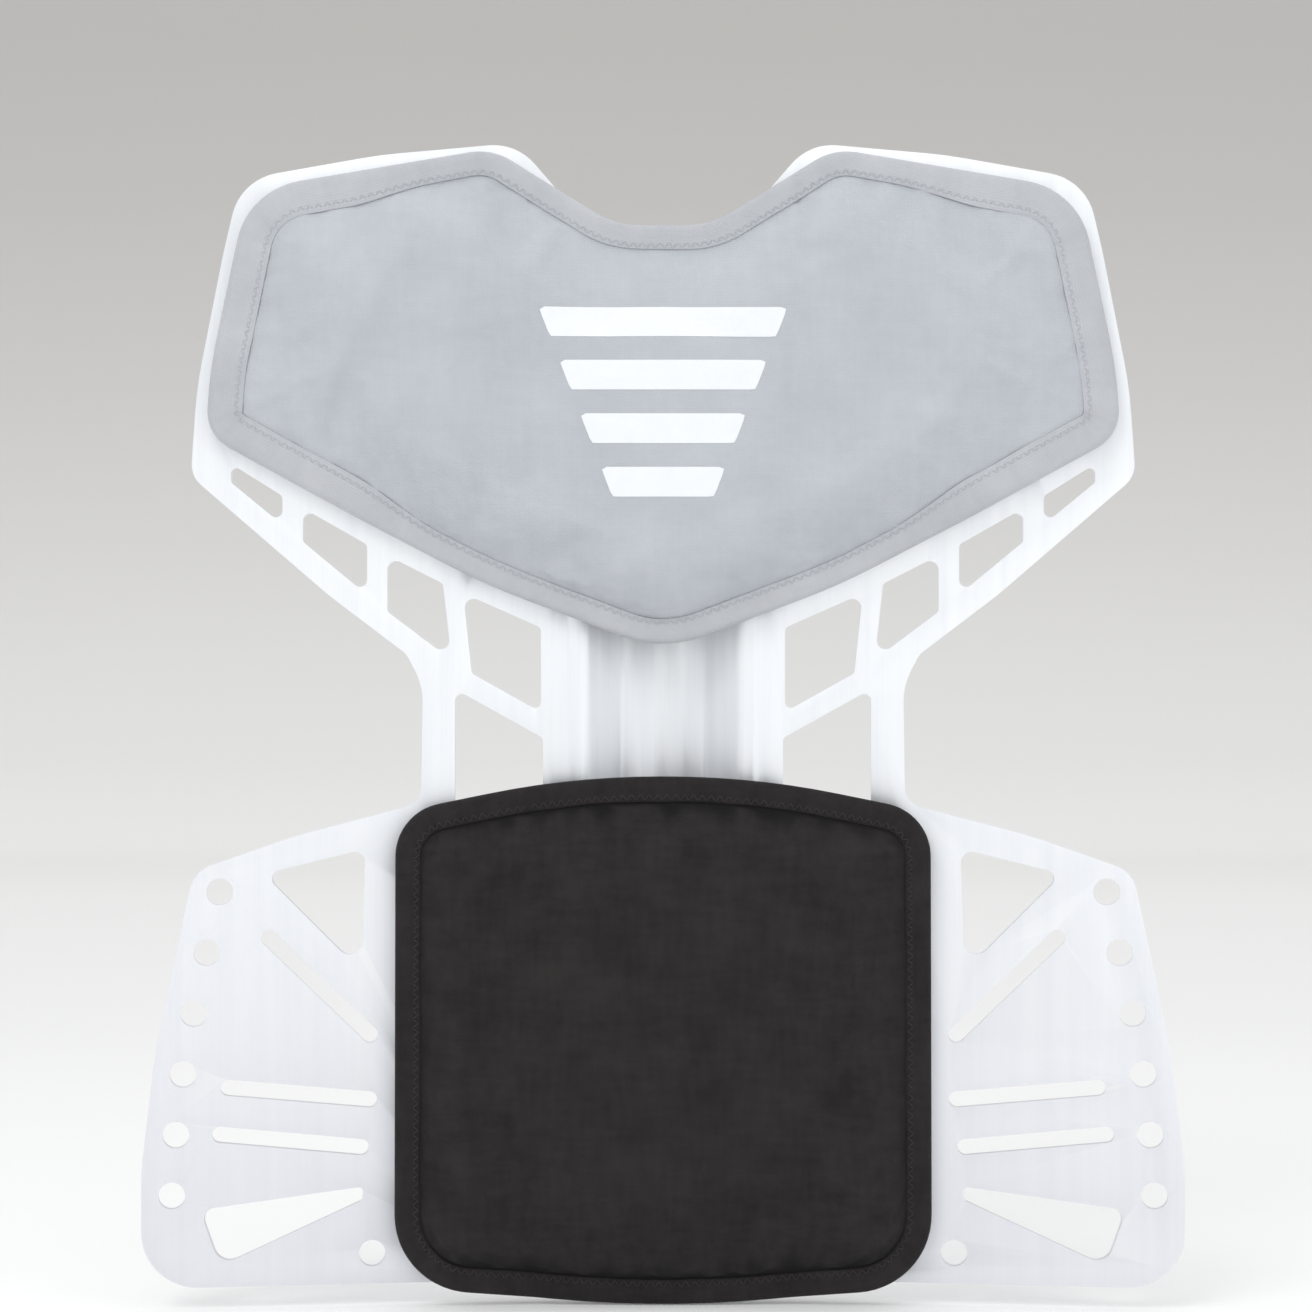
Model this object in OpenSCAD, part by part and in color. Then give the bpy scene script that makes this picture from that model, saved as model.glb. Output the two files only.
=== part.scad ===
// Padded backplate of a harness: a bent light-metal plate with a spine channel, and two pads that
// snap onto it with press studs and grip it with hook-and-loop patches.
// X is across the back, Z is up the spine, and +Y points away from the wearer, towards the cylinder.
// The origin is the middle of the two cylinder bolt holes, on the rear face of the channel's floor.

/* [Plate] */
// Thickness of the metal sheet
sheet_t = 3; // [2:0.5:5]
// Height of the shoulder section, from the waist corner to the horns
upper_h = 174.6; // [145:0.1:210]
// Height of the open waist section between the shoulder and the hip sections
waist_h = 50.6; // [42:0.1:61]
// Height of the hip section, from the waist struts to the bottom edge
lower_h = 163; // [135:0.1:196]
// Width over the outer edges of the two waist struts
waist_w = 164.6; // [150:0.1:198]
// How far each shoulder wing reaches out past the waist strut
upper_reach = 76.9; // [70:0.1:94]
// How far each hip wing reaches out past the waist strut
lower_reach = 93.3; // [90:0.1:112]
// Width of each waist strut
strut_w = 11.4; // [8:0.1:14]
// Width of the spine between the side openings
spine_w = 82; // [80:0.1:92]
// Depth of the neck notch between the horns
notch_depth = 38.6; // [32:0.1:46]
// Width of the neck notch at its bottom
notch_w = 56; // [40:0.1:60]
// Distance between the tops of the two horns
horn_gap = 100; // [96:0.1:130]
// Forward tilt of each wing from the spine, in degrees
wing_angle = 7; // [4:0.5:9]
// Distance of each wing's bend line from the centre line
wing_bend_x = 44; // [44:0.1:48]

/* [Spine channel] */
// Depth of the channel behind the flanges
channel_depth = 14; // [12:0.5:17]
// Width of the channel's flat floor
channel_floor_w = 30; // [28:0.5:34]
// Width of the channel's mouth, between the flanges
channel_mouth_w = 54; // [50:0.5:56]
// Bend radius at the middle of the sheet's thickness
channel_bend_r = 4.5; // [3:0.5:6]

/* [Ribs and rims] */
// Width of the ribs between the shoulder openings
rib_w = 6.8; // [5:0.1:9]
// Width of the rim below the shoulder openings
arm_rim_w = 7; // [5:0.1:9]
// Width of the slanted brace from each waist strut to the spine
brace_w = 7.4; // [5:0.1:9]

/* [Holes and slots] */
// Distance between the two cylinder bolt holes
bolt_spacing = 279.4; // [260:0.1:290]
// Diameter of the cylinder bolt holes
bolt_hole_d = 8.5; // [7:0.1:11]
// Distance from the upper bolt hole up to the bottom of the neck notch
bolt_to_notch = 12.3; // [10:0.1:16]
// Diameter of the accessory holes along the hip wings
wing_hole_d = 9; // [6:0.1:10]
// Number of accessory holes along each hip wing's side
wing_hole_count = 6; // [3:1:7]
// Distance of the accessory holes from the plate's edge
wing_hole_edge = 9.9; // [8:0.1:12]
// Length of the webbing slots, end to end
slot_l = 53; // [50:0.1:60]
// Width of the webbing slots
slot_w = 5.5; // [5:0.1:7]

/* [Press studs] */
// Distance of the press studs from the centre line
stud_x = 34.2; // [33.6:0.1:35]
// Diameter of the stud's base
stud_base_d = 11; // [9:0.1:11.4]
// Diameter of the stud's head
stud_head_d = 7.8; // [7:0.1:8.6]
// Diameter of the stud's threaded shank
shank_d = 4; // [3:0.1:5]
// Radial room of the shank in the plate's hole
shank_room = 0.15; // [0.1:0.05:0.3]
// Radial room of the stud's head in its socket
socket_room = 0.2; // [0.15:0.05:0.3]
// Outer diameter of the socket
socket_d = 12.4; // [12:0.1:13.4]
// Diameter of the cap inside the pad
cap_d = 13; // [11:0.1:14]
// Width across the flats of the stud's nut
nut_flats = 7; // [6:0.1:8]

/* [Pads] */
// Distance from the plate's front face to the back of each pad
pad_gap = 4.2; // [4:0.1:5]
// Thickness of each pad's foam core
foam_t = 8; // [6:0.5:12]
// Thickness of the pad's cover fabric
cover_t = 1; // [0.6:0.1:1.5]
// Thickness of the mesh liner at the pad's back
liner_t = 1; // [0.6:0.1:1.5]
// Thickness of the stiffening sheet inside the pad
stiffener_t = 1.2; // [0.8:0.1:2]
// Width of the binding tape that folds round the pad's edge
binding_w = 8.5; // [6:0.1:11]
// Thickness of the binding tape
binding_t = 0.8; // [0.5:0.1:1.2]
// Thickness of the hook half of a hook-and-loop patch
hook_t = 2; // [1:0.1:2.4]
// Room between the hook half and the loop half
patch_room = 0.3; // [0.2:0.05:0.6]
// How far the lumbar pad reaches out past each waist strut
lumbar_side = 9; // [6:0.1:12]
// How far the lumbar pad rises above the hip section
lumbar_rise = 9.1; // [6:0.1:14]
// How far the lumbar pad hangs below the plate
lumbar_drop = 8; // [4:0.1:12]

/* [Hidden] */

$fn = 48;

// Colours
metal_colour = "#E6EBF0";
steel_colour = "#B8BCC2";
upper_colour = "#C3C7CE";
lumbar_colour = "#343132";
foam_colour = "#5A5C60";
sheet_colour = "#D8D8D4";
liner_colour = "#3C3C40";
patch_colour = "#2A2A2C";
emblem_colour = "#F4F7FB";

// Levels up the spine
z_notch = bolt_spacing / 2 + bolt_to_notch;
z_top = z_notch + notch_depth;
z_waist = z_top - upper_h;
z_hip = z_waist - waist_h;
z_bottom = z_hip - lower_h;

// Distances from the centre line
strut_out = waist_w / 2;
strut_in = strut_out - strut_w;
spine_x = spine_w / 2;
upper_x = strut_out + upper_reach;
lower_x = strut_out + lower_reach;
pad_x = strut_out + lumbar_side;
reach_x = max(upper_x, lower_x) + 10;

// Shoulder wing: its widest point and its outer top corner
tip_z = z_waist + 60;
shoulder_x = upper_x - 16.5;
shoulder_z = z_top - 14.3;

// Layers in front of the plate's front face
liner_d = pad_gap;
hem_d = liner_d + liner_t;
foam_d = hem_d + stiffener_t;
crown_d = foam_d + foam_t + 0.1;
front_d = crown_d + cover_t;
loop_d = hook_t + patch_room;

// Insets from a pad's outline
cover_inset = binding_t;
crown_inset = binding_w + 2;
core_inset = crown_inset + cover_t + 0.3;
liner_inset = binding_t;

// Press stud: heights above the plate's front face
base_t = 0.9;
neck_d = stud_head_d - 1.2;
head_from = 2.4;
head_to = 3.5;
socket_from = 1.2;
socket_floor = 0.5;
spring_at = 2;
spring_wire_r = 0.35;
spring_ring_r = stud_head_d / 2 + 0.05 + spring_wire_r;
groove_room = 0.06;
cap_t = 0.8;
barrel_r = 2.4;
barrel_room = 0.1;
washer_t = 0.8;
washer_d = shank_d + 4.6;
nut_t = 3.2;
nut_bore_room = 0.02;
shank_past_nut = 0.8;

upper_studs = [z_notch - 20, z_waist + 34];
lumbar_studs = [z_hip - 14, z_bottom + 18];

arc_tolerance = 0.04;

// ---------- Outlines: each corner is [x, z, fillet radius], anticlockwise ----------

function unit(v) = v / norm(v);
function left_of(v) = [-v[1], v[0]];
function cross2(a, b) = a[0] * b[1] - a[1] * b[0];
function turned(v, a) = [v[0] * cos(a) - v[1] * sin(a), v[0] * sin(a) + v[1] * cos(a)];
function turn_between(u, v) = atan2(cross2(u, v), u * v);
function arc_steps(r, a) = max(1, ceil(abs(a) / (2 * acos(1 - arc_tolerance / max(r, 1)))));

// The fillet at corner b, as points with the sheet's left-hand normal: [x, y, normal x, normal y]
function fillet(a, b, c, r) =
    let (
        u = unit(b - a),
        v = unit(c - b),
        turn = turn_between(u, v),
        room = min(norm(b - a), norm(c - b)) * 0.49,
        radius = min(r, room / tan(max(abs(turn), 0.01) / 2)),
        back = radius * tan(abs(turn) / 2),
        side = sign(turn),
        centre = b - u * back + left_of(u) * radius * side,
        steps = arc_steps(radius, turn)
    )
    [for (k = [0:steps])
        let (n = left_of(turned(u, turn * k / steps)), p = centre - n * radius * side)
        [p[0], p[1], n[0], n[1]]];

function corner(p, i) = let (q = p[(i + len(p)) % len(p)]) [q[0], q[1]];

// A closed outline with its corners rounded
function rounded(p) =
    [for (i = [0:len(p) - 1])
        for (q = fillet(corner(p, i - 1), corner(p, i), corner(p, i + 1), p[i][2]))
            [q[0], q[1]]];

// The outline moved inwards by d, with its fillets kept concentric
function inset(p, d) =
    [for (i = [0:len(p) - 1])
        let (
            u = unit(corner(p, i) - corner(p, i - 1)),
            v = unit(corner(p, i + 1) - corner(p, i)),
            m = (left_of(u) + left_of(v)) / (1 + u * v),
            q = corner(p, i) + m * d
        )
        [q[0], q[1], max(0.8, p[i][2] - d * sign(turn_between(u, v)))]];

// The right half, bottom to top, and its mirror image
function both_sides(half) =
    concat(half, [for (i = [len(half) - 1:-1:0]) if (half[i][0] > 0) [-half[i][0], half[i][1], half[i][2]]]);
function mirrored(p) = [for (i = [len(p) - 1:-1:0]) [-p[i][0], p[i][1], p[i][2]]];

// The hip wing's side edge, and how far out it is at height z
hip_side = [
    [z_bottom, lower_x],
    [z_bottom + 39.6, lower_x],
    [z_bottom + 79.6, lower_x - 4.6],
    [z_hip - 22.6, lower_x - 17.3]
];
function hip_side_x(z) = lookup(z, hip_side);

plate_half = [
    [lower_x, z_bottom, 19],
    [hip_side[1][1], hip_side[1][0], 80],
    [hip_side[2][1], hip_side[2][0], 150],
    [hip_side[3][1], hip_side[3][0], 11],
    [lower_x - 51.6, z_hip - 10.8, 150],
    [strut_out, z_hip, 7],
    [strut_out - 0.6, z_waist - 10.6, 30],
    [strut_out + 4.9, z_waist, 6],
    [strut_out + 31, z_waist + 20, 120],
    [upper_x, tip_z, 9],
    [upper_x - 2, tip_z + 30, 150],
    [upper_x - 10.9, z_top - 38.6, 120],
    [shoulder_x, shoulder_z, 26],
    [(shoulder_x + horn_gap / 2) / 2, z_top - 5.1, 150],
    [horn_gap / 2, z_top, 18],
    [notch_w / 2 + 5, z_notch + 19, 30],
    [notch_w / 2, z_notch, 12]
];

// The shoulder openings lie between a bowed line above and the arm's rim below
arch_from = [spine_x + 0.7, z_waist + 9.1];
arch_to = [upper_x - 13.3, tip_z + 4.3];
arch_bow = 0.22;
function arch_z(x) =
    let (u = (x - arch_from[0]) / (arch_to[0] - arch_from[0]))
    arch_from[1] + (arch_to[1] - arch_from[1]) * u * (1 - arch_bow * (1 - u));
arm_slope = (tip_z - z_waist) / (upper_x - strut_out - 4.9);
function arm_rim_z(x) = z_waist + (x - strut_out - 4.9) * arm_slope + arm_rim_w * sqrt(1 + arm_slope ^ 2);

// The brace runs from the waist strut down to the spine
brace_out = [strut_in, z_waist - 11.8];
brace_slope = 16.9 / 30;
function brace_low_z(x) = brace_out[1] - (strut_in - x) * brace_slope;
function brace_top_z(x) = brace_low_z(x) + brace_w * sqrt(1 + brace_slope ^ 2);

inner_rib_top = strut_out - 10.8;
inner_rib_foot = strut_out - 13.7;
middle_rib = strut_out + upper_reach * 0.192;
outer_rib = strut_out + upper_reach * 0.56;
half_rib = rib_w / 2;

function opening(x0, x1, r) = [
    [x0, arm_rim_z(x0), r],
    [x1, arm_rim_z(x1), 2],
    [x1, arch_z(x1), 2.4],
    [x0, arch_z(x0), 2]
];

tip_opening = opening(outer_rib + half_rib, arch_to[0], 3);
outer_opening = opening(middle_rib + half_rib, outer_rib - half_rib, 2.4);
inner_opening = [
    [inner_rib_foot + half_rib, arm_rim_z(inner_rib_foot + half_rib) + 1.6, 3],
    [middle_rib - half_rib, arm_rim_z(middle_rib - half_rib), 2],
    [middle_rib - half_rib, arch_z(middle_rib - half_rib), 3],
    [inner_rib_top + half_rib, arch_z(inner_rib_top + half_rib), 2]
];
spine_opening = [
    [arch_from[0], brace_top_z(arch_from[0]), 2],
    [inner_rib_foot - half_rib, brace_top_z(inner_rib_foot - half_rib), 2],
    [inner_rib_top - half_rib, arch_z(inner_rib_top - half_rib), 3],
    [arch_from[0], arch_z(arch_from[0]), 2]
];
waist_opening = [
    [spine_x, z_hip - 43, 6],
    [strut_in, z_hip - 43, 6],
    [strut_in, brace_out[1], 2.4],
    [spine_x, brace_low_z(spine_x), 1.6]
];

// The hip openings keep clear of the lumbar pad
cut_x = pad_x + 9.7;
hip_triangle = [
    [cut_x + 1, z_hip - 57.5, 4.5],
    [lower_x - 40.5, z_hip - 23.7, 3],
    [cut_x, z_hip - 15.4, 3.6]
];
hip_wedge = [
    [cut_x + 1.3, z_bottom + 28.2, 1.6],
    [lower_x - 26, z_bottom + 7, 5.5],
    [lower_x - 19.3, z_bottom + 26.2, 4],
    [cut_x + 0.5, z_bottom + 33, 1.6]
];

// Webbing slots: [x, z, slope outwards in degrees]
diagonal_slot = [cut_x + 15.5, z_bottom + lower_h * 0.62, 44.3];
waist_slots = [
    [cut_x + 22.4, z_bottom + lower_h * 0.398, 5.7],
    [cut_x + 25.2, z_bottom + lower_h * 0.3, 6.1]
];
shoulder_slot = [spine_x + 42, z_top - 38, -20];
crotch_slot_z = z_bottom + 13.5;
crotch_slot_l = channel_mouth_w - 2;

wing_hole_first = z_hip - 29.6;
wing_hole_last = z_bottom + 31.1;
wing_hole_pitch = (wing_hole_first - wing_hole_last) / (wing_hole_count - 1);
bottom_hole = [pad_x + 7.6, z_bottom + wing_hole_edge + 0.4];

upper_pad_half = [
    [0, z_waist + 0.9, 40],
    [60, arch_z(60) + 6.4, 250],
    [105, arch_z(105) + 7.2, 250],
    [upper_x - 5.6, tip_z + 13.6, 14],
    [upper_x - 7.2, tip_z + 36, 150],
    [upper_x - 19.6, z_top - 18.4, 26],
    [horn_gap / 2 + 8, z_top - 2.9, 20],
    [notch_w / 2 - 12, z_notch + 9.9, 30]
];
lumbar_pad_half = [
    [0, z_bottom - lumbar_drop - 1, 400],
    [pad_x - 0.4, z_bottom - lumbar_drop + 7.4, 27],
    [pad_x - 0.8, z_hip + lumbar_rise - 12, 18],
    [pad_x - 61, z_hip + lumbar_rise, 300]
];
upper_pad_outline = both_sides(upper_pad_half);
lumbar_pad_outline = both_sides(lumbar_pad_half);

function oblong(x, z, w, h, r) =
    [[x - w / 2, z - h / 2, r], [x + w / 2, z - h / 2, r], [x + w / 2, z + h / 2, r], [x - w / 2, z + h / 2, r]];

upper_patch = oblong(upper_x - 50, z_top - 72, 50, 50, 5);
lumbar_patch = oblong(pad_x - 22, z_bottom + 58, 25, 90, 5);
patch_margin = 1.5;

// The emblem is a stack of bars that narrows downwards
emblem_bars = 4;
emblem_w = 84;
emblem_taper = 7;
emblem_bar_h = 10;
emblem_pitch = 18;
emblem_top = z_waist + 117;
emblem_t = 0.25;

// ---------- Sections across the plate: [x, y] ----------

wing_bend_r = 40;
flange_y = -channel_depth - sheet_t / 2;
wing_end_y = flange_y - (reach_x - wing_bend_x) * tan(wing_angle);
wing_start = [[-reach_x, wing_end_y, 0], [-wing_bend_x, flange_y, wing_bend_r]];
wing_finish = [[wing_bend_x, flange_y, wing_bend_r], [reach_x, wing_end_y, 0]];
channel_path = [
    [-channel_mouth_w / 2, flange_y, channel_bend_r],
    [-channel_floor_w / 2, -sheet_t / 2, channel_bend_r],
    [channel_floor_w / 2, -sheet_t / 2, channel_bend_r],
    [channel_mouth_w / 2, flange_y, channel_bend_r]
];

// An open path with its bends rounded, as points with left-hand normals
function bent(p) =
    let (
        last = len(p) - 1,
        first_n = left_of(unit(corner(p, 1) - corner(p, 0))),
        last_n = left_of(unit(corner(p, last) - corner(p, last - 1)))
    )
    concat(
        [[p[0][0], p[0][1], first_n[0], first_n[1]]],
        [for (i = [1:last - 1]) for (q = fillet(corner(p, i - 1), corner(p, i), corner(p, i + 1), p[i][2])) q],
        [[p[last][0], p[last][1], last_n[0], last_n[1]]]
    );

function offset_side(p, d) = [for (q = p) [q[0] + q[2] * d, q[1] + q[3] * d]];
function reversed(p) = [for (i = [len(p) - 1:-1:0]) p[i]];
function ribbon(p, d0, d1) = concat(offset_side(p, d0), reversed(offset_side(p, d1)));

plate_path = bent(concat(wing_start, channel_path, wing_finish));
pad_path = bent(concat(wing_start, wing_finish));

// Where a wing's middle surface is at x
function wing_y(x) = flange_y - max(0, abs(x) - wing_bend_x) * tan(wing_angle);

// ---------- Shapes ----------

tall = z_top - z_bottom + 60;

// The outline as a prism along Y, deep enough to pass through every layer
module prism(outline) {
    translate([0, 20, 0])
        rotate([90, 0, 0])
            linear_extrude(height = 120)
                polygon(rounded(outline));
}

// A layer in front of the plate, from depth d0 to depth d1 above its front face
module layer(outline, d0, d1) {
    intersection() {
        translate([0, 0, z_bottom - 30])
            linear_extrude(height = tall)
                polygon(ribbon(pad_path, -sheet_t / 2 - d1, -sheet_t / 2 - d0));
        prism(outline);
    }
}

// Children stand on the plate's middle surface at [x, z], with their Z axis out of its rear face
module on_wing(x, z) {
    translate([x, wing_y(x), z])
        rotate([0, 0, -sign(x) * wing_angle])
            rotate([-90, 0, 0])
                children();
}

// Children stand on the spine's flange with their Z axis towards the wearer, from the plate's front face
module on_flange(x, z) {
    translate([x, -channel_depth - sheet_t, z])
        rotate([90, 0, 0])
            children();
}

module at_studs(heights) {
    for (z = heights, side = [-1, 1])
        on_flange(side * stud_x, z) children();
}

module rod(d, from, to) {
    translate([0, 0, from])
        cylinder(d = d, h = to - from);
}

module tube(outer_d, inner_d, from, to) {
    difference() {
        rod(outer_d, from, to);
        rod(inner_d, from - 1, to + 1);
    }
}

module slot_cut(length, width) {
    half = (length - width) / 2;
    for (s = [-1, 1])
        translate([s * half, 0, -15])
            cylinder(d = width, h = 30);
    translate([-half, -width / 2, -15])
        cube([2 * half, width, 30]);
}

module wing_slot(s, side) {
    on_wing(side * s[0], s[1])
        rotate([0, 0, -side * s[2]])
            slot_cut(slot_l, slot_w);
}

module both_prisms(outline) {
    prism(outline);
    prism(mirrored(outline));
}

// ---------- Plate ----------

module plate_blank() {
    intersection() {
        translate([0, 0, z_bottom - 30])
            linear_extrude(height = tall)
                polygon(ribbon(plate_path, -sheet_t / 2, sheet_t / 2));
        prism(both_sides(plate_half));
    }
}

module plate_openings() {
    both_prisms(tip_opening);
    both_prisms(outer_opening);
    both_prisms(inner_opening);
    both_prisms(spine_opening);
    both_prisms(waist_opening);
    both_prisms(hip_triangle);
    both_prisms(hip_wedge);
}

module plate_slots() {
    for (side = [-1, 1]) {
        wing_slot(diagonal_slot, side);
        wing_slot(shoulder_slot, side);
        for (s = waist_slots)
            wing_slot(s, side);
    }
    translate([0, -channel_depth / 2, crotch_slot_z])
        rotate([90, 0, 0])
            slot_cut(crotch_slot_l, slot_w);
}

module plate_holes() {
    for (s = [-1, 1])
        translate([0, -sheet_t - 1, s * bolt_spacing / 2])
            rotate([-90, 0, 0])
                cylinder(d = bolt_hole_d, h = sheet_t + 2);
    for (side = [-1, 1]) {
        for (i = [0:wing_hole_count - 1])
            let (z = wing_hole_first - i * wing_hole_pitch)
            on_wing(side * (hip_side_x(z) - wing_hole_edge), z)
                rod(wing_hole_d, -sheet_t, sheet_t);
        on_wing(side * bottom_hole[0], bottom_hole[1])
            rod(wing_hole_d, -sheet_t, sheet_t);
    }
    at_studs(concat(upper_studs, lumbar_studs))
        rod(shank_d + 2 * shank_room, -sheet_t - 1, 1);
}

module backplate() {
    color(metal_colour)
        difference() {
            plate_blank();
            plate_openings();
            plate_slots();
            plate_holes();
        }
}

// ---------- Press studs on the plate ----------

module press_stud() {
    rod(stud_base_d, 0, base_t);
    rod(neck_d, 0, head_from);
    rod(stud_head_d, head_from, head_to);
    rod(shank_d, -sheet_t - washer_t - nut_t - shank_past_nut, 0);
}

module press_studs(heights) {
    color(steel_colour) at_studs(heights) press_stud();
}

module stud_washers(heights) {
    color(steel_colour)
        at_studs(heights)
            tube(washer_d, shank_d + 2 * shank_room, -sheet_t - washer_t, -sheet_t);
}

module stud_nuts(heights) {
    color(steel_colour)
        at_studs(heights)
            translate([0, 0, -sheet_t - washer_t - nut_t])
                difference() {
                    cylinder(d = nut_flats / cos(30), h = nut_t, $fn = 6);
                    rod(shank_d + 2 * nut_bore_room, -1, nut_t + 1);
                }
}

module hook_patches(patch) {
    color(patch_colour) {
        layer(patch, 0, hook_t);
        layer(mirrored(patch), 0, hook_t);
    }
}

// ---------- Pads ----------

module pad_cover(outline, colour) {
    color(colour)
        difference() {
            union() {
                layer(inset(outline, cover_inset), hem_d, hem_d + cover_t);
                layer(inset(outline, crown_inset), hem_d, front_d);
            }
            layer(inset(outline, crown_inset + cover_t), hem_d - 1, crown_d);
        }
}

module pad_foam(outline, heights) {
    color(foam_colour)
        difference() {
            layer(inset(outline, core_inset), foam_d, foam_d + foam_t);
            at_studs(heights)
                rod(cap_d + 0.6, foam_d - 1, foam_d + cap_t + 0.2);
        }
}

module pad_sheet(outline, heights, d0, d1, colour) {
    color(colour)
        difference() {
            layer(outline, d0, d1);
            at_studs(heights)
                rod(2 * (barrel_r + barrel_room), d0 - 1, d1 + 1);
        }
}

module pad_stiffener(outline, heights) {
    pad_sheet(inset(outline, core_inset), heights, hem_d, foam_d, sheet_colour);
}

module pad_liner(outline, heights) {
    pad_sheet(inset(outline, liner_inset), heights, liner_d, hem_d, liner_colour);
}

module pad_binding(outline, colour) {
    color(colour)
        difference() {
            layer(outline, liner_d - binding_t, hem_d + cover_t + binding_t);
            layer(inset(outline, binding_t), liner_d, hem_d + cover_t);
            prism(inset(outline, binding_w));
        }
}

module loop_patches(patch) {
    color(patch_colour) {
        layer(inset(patch, patch_margin), loop_d, liner_d);
        layer(inset(mirrored(patch), patch_margin), loop_d, liner_d);
    }
}

module stud_sockets(heights) {
    color(steel_colour)
        at_studs(heights)
            difference() {
                rod(socket_d, socket_from, liner_d);
                rod(stud_head_d + 2 * socket_room, socket_from - 1, liner_d - socket_floor);
                rod(2 * (spring_ring_r + spring_wire_r + groove_room),
                    spring_at - spring_wire_r - groove_room,
                    spring_at + spring_wire_r + groove_room);
            }
}

module socket_springs(heights) {
    color(steel_colour)
        at_studs(heights)
            translate([0, 0, spring_at])
                rotate_extrude()
                    translate([spring_ring_r, 0])
                        circle(r = spring_wire_r);
}

module socket_caps(heights) {
    color(steel_colour)
        at_studs(heights) {
            rod(cap_d, foam_d, foam_d + cap_t);
            rod(2 * barrel_r, liner_d, foam_d);
        }
}

module upper_pad_emblem() {
    color(emblem_colour)
        for (i = [0:emblem_bars - 1])
            let (
                top_half = emblem_w / 2 - i * emblem_taper,
                low_half = top_half - emblem_taper * emblem_bar_h / emblem_pitch,
                high = emblem_top - i * emblem_pitch,
                low = high - emblem_bar_h
            )
            layer(
                [[-low_half, low, 1], [low_half, low, 1], [top_half, high, 1], [-top_half, high, 1]],
                front_d, front_d + emblem_t
            );
}

backplate();
press_studs(upper_studs);  // upper_press_studs
stud_washers(upper_studs);  // upper_stud_washers
stud_nuts(upper_studs);  // upper_stud_nuts
hook_patches(upper_patch);  // upper_hook_patches
press_studs(lumbar_studs);  // lumbar_press_studs
stud_washers(lumbar_studs);  // lumbar_stud_washers
stud_nuts(lumbar_studs);  // lumbar_stud_nuts
hook_patches(lumbar_patch);  // lumbar_hook_patches
pad_cover(upper_pad_outline, upper_colour);  // upper_pad_cover
pad_foam(upper_pad_outline, upper_studs);  // upper_pad_foam
pad_stiffener(upper_pad_outline, upper_studs);  // upper_pad_stiffener
pad_liner(upper_pad_outline, upper_studs);  // upper_pad_liner
pad_binding(upper_pad_outline, upper_colour);  // upper_pad_binding
upper_pad_emblem();
loop_patches(upper_patch);  // upper_pad_loop_patches
stud_sockets(upper_studs);  // upper_stud_sockets
socket_springs(upper_studs);  // upper_socket_springs
socket_caps(upper_studs);  // upper_socket_caps
pad_cover(lumbar_pad_outline, lumbar_colour);  // lumbar_pad_cover
pad_foam(lumbar_pad_outline, lumbar_studs);  // lumbar_pad_foam
pad_stiffener(lumbar_pad_outline, lumbar_studs);  // lumbar_pad_stiffener
pad_liner(lumbar_pad_outline, lumbar_studs);  // lumbar_pad_liner
pad_binding(lumbar_pad_outline, lumbar_colour);  // lumbar_pad_binding
loop_patches(lumbar_patch);  // lumbar_pad_loop_patches
stud_sockets(lumbar_studs);  // lumbar_stud_sockets
socket_springs(lumbar_studs);  // lumbar_socket_springs
socket_caps(lumbar_studs);  // lumbar_socket_caps
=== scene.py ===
import math
from functools import partial

import bmesh
import bpy
import numpy as np
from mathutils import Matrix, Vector, noise
from mathutils.bvhtree import BVHTree
from mathutils.geometry import delaunay_2d_cdt


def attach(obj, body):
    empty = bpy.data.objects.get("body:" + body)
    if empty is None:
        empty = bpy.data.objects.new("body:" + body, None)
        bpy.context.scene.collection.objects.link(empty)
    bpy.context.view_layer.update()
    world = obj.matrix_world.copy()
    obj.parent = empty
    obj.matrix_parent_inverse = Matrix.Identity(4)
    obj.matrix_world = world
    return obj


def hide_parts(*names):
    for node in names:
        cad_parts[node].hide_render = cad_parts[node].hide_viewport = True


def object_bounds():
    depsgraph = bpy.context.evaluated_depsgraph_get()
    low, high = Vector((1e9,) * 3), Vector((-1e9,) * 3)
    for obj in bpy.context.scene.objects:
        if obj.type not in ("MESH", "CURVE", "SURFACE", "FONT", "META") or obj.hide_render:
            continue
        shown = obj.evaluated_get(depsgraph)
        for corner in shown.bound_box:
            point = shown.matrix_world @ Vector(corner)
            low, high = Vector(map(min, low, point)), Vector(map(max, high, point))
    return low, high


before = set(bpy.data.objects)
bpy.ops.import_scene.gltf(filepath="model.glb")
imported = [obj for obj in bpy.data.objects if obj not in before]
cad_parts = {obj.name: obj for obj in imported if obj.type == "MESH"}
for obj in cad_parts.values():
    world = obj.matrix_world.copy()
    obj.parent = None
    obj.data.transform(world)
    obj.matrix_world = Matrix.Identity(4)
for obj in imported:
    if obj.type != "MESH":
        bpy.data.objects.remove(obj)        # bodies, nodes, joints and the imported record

mm = 0.001
scene = bpy.context.scene
cadLow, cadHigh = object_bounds()
print("frame loaded:", len(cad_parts), "nodes")


# Working with meshes

meshWork = {"weld": 0.001 * mm, "flatAngle": 0.6, "cornerAngle": 32, "wallTilt": 0.3, "batch": 2000,
            "ringRoom": 0.985, "latticeRoom": 0.6, "holeRoom": 0.5 * mm}


def addPiece(name, points, faces, material=None):
    mesh = bpy.data.meshes.new(name)
    mesh.from_pydata([tuple(p) for p in points], [], [tuple(f) for f in faces])
    mesh.update()
    return placeMesh(name, mesh, material)


def placeMesh(name, mesh, material=None):
    piece = bpy.data.objects.new(name, mesh)
    scene.collection.objects.link(piece)
    if material:
        mesh.materials.clear()
        mesh.materials.append(material)
    return piece


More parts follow.
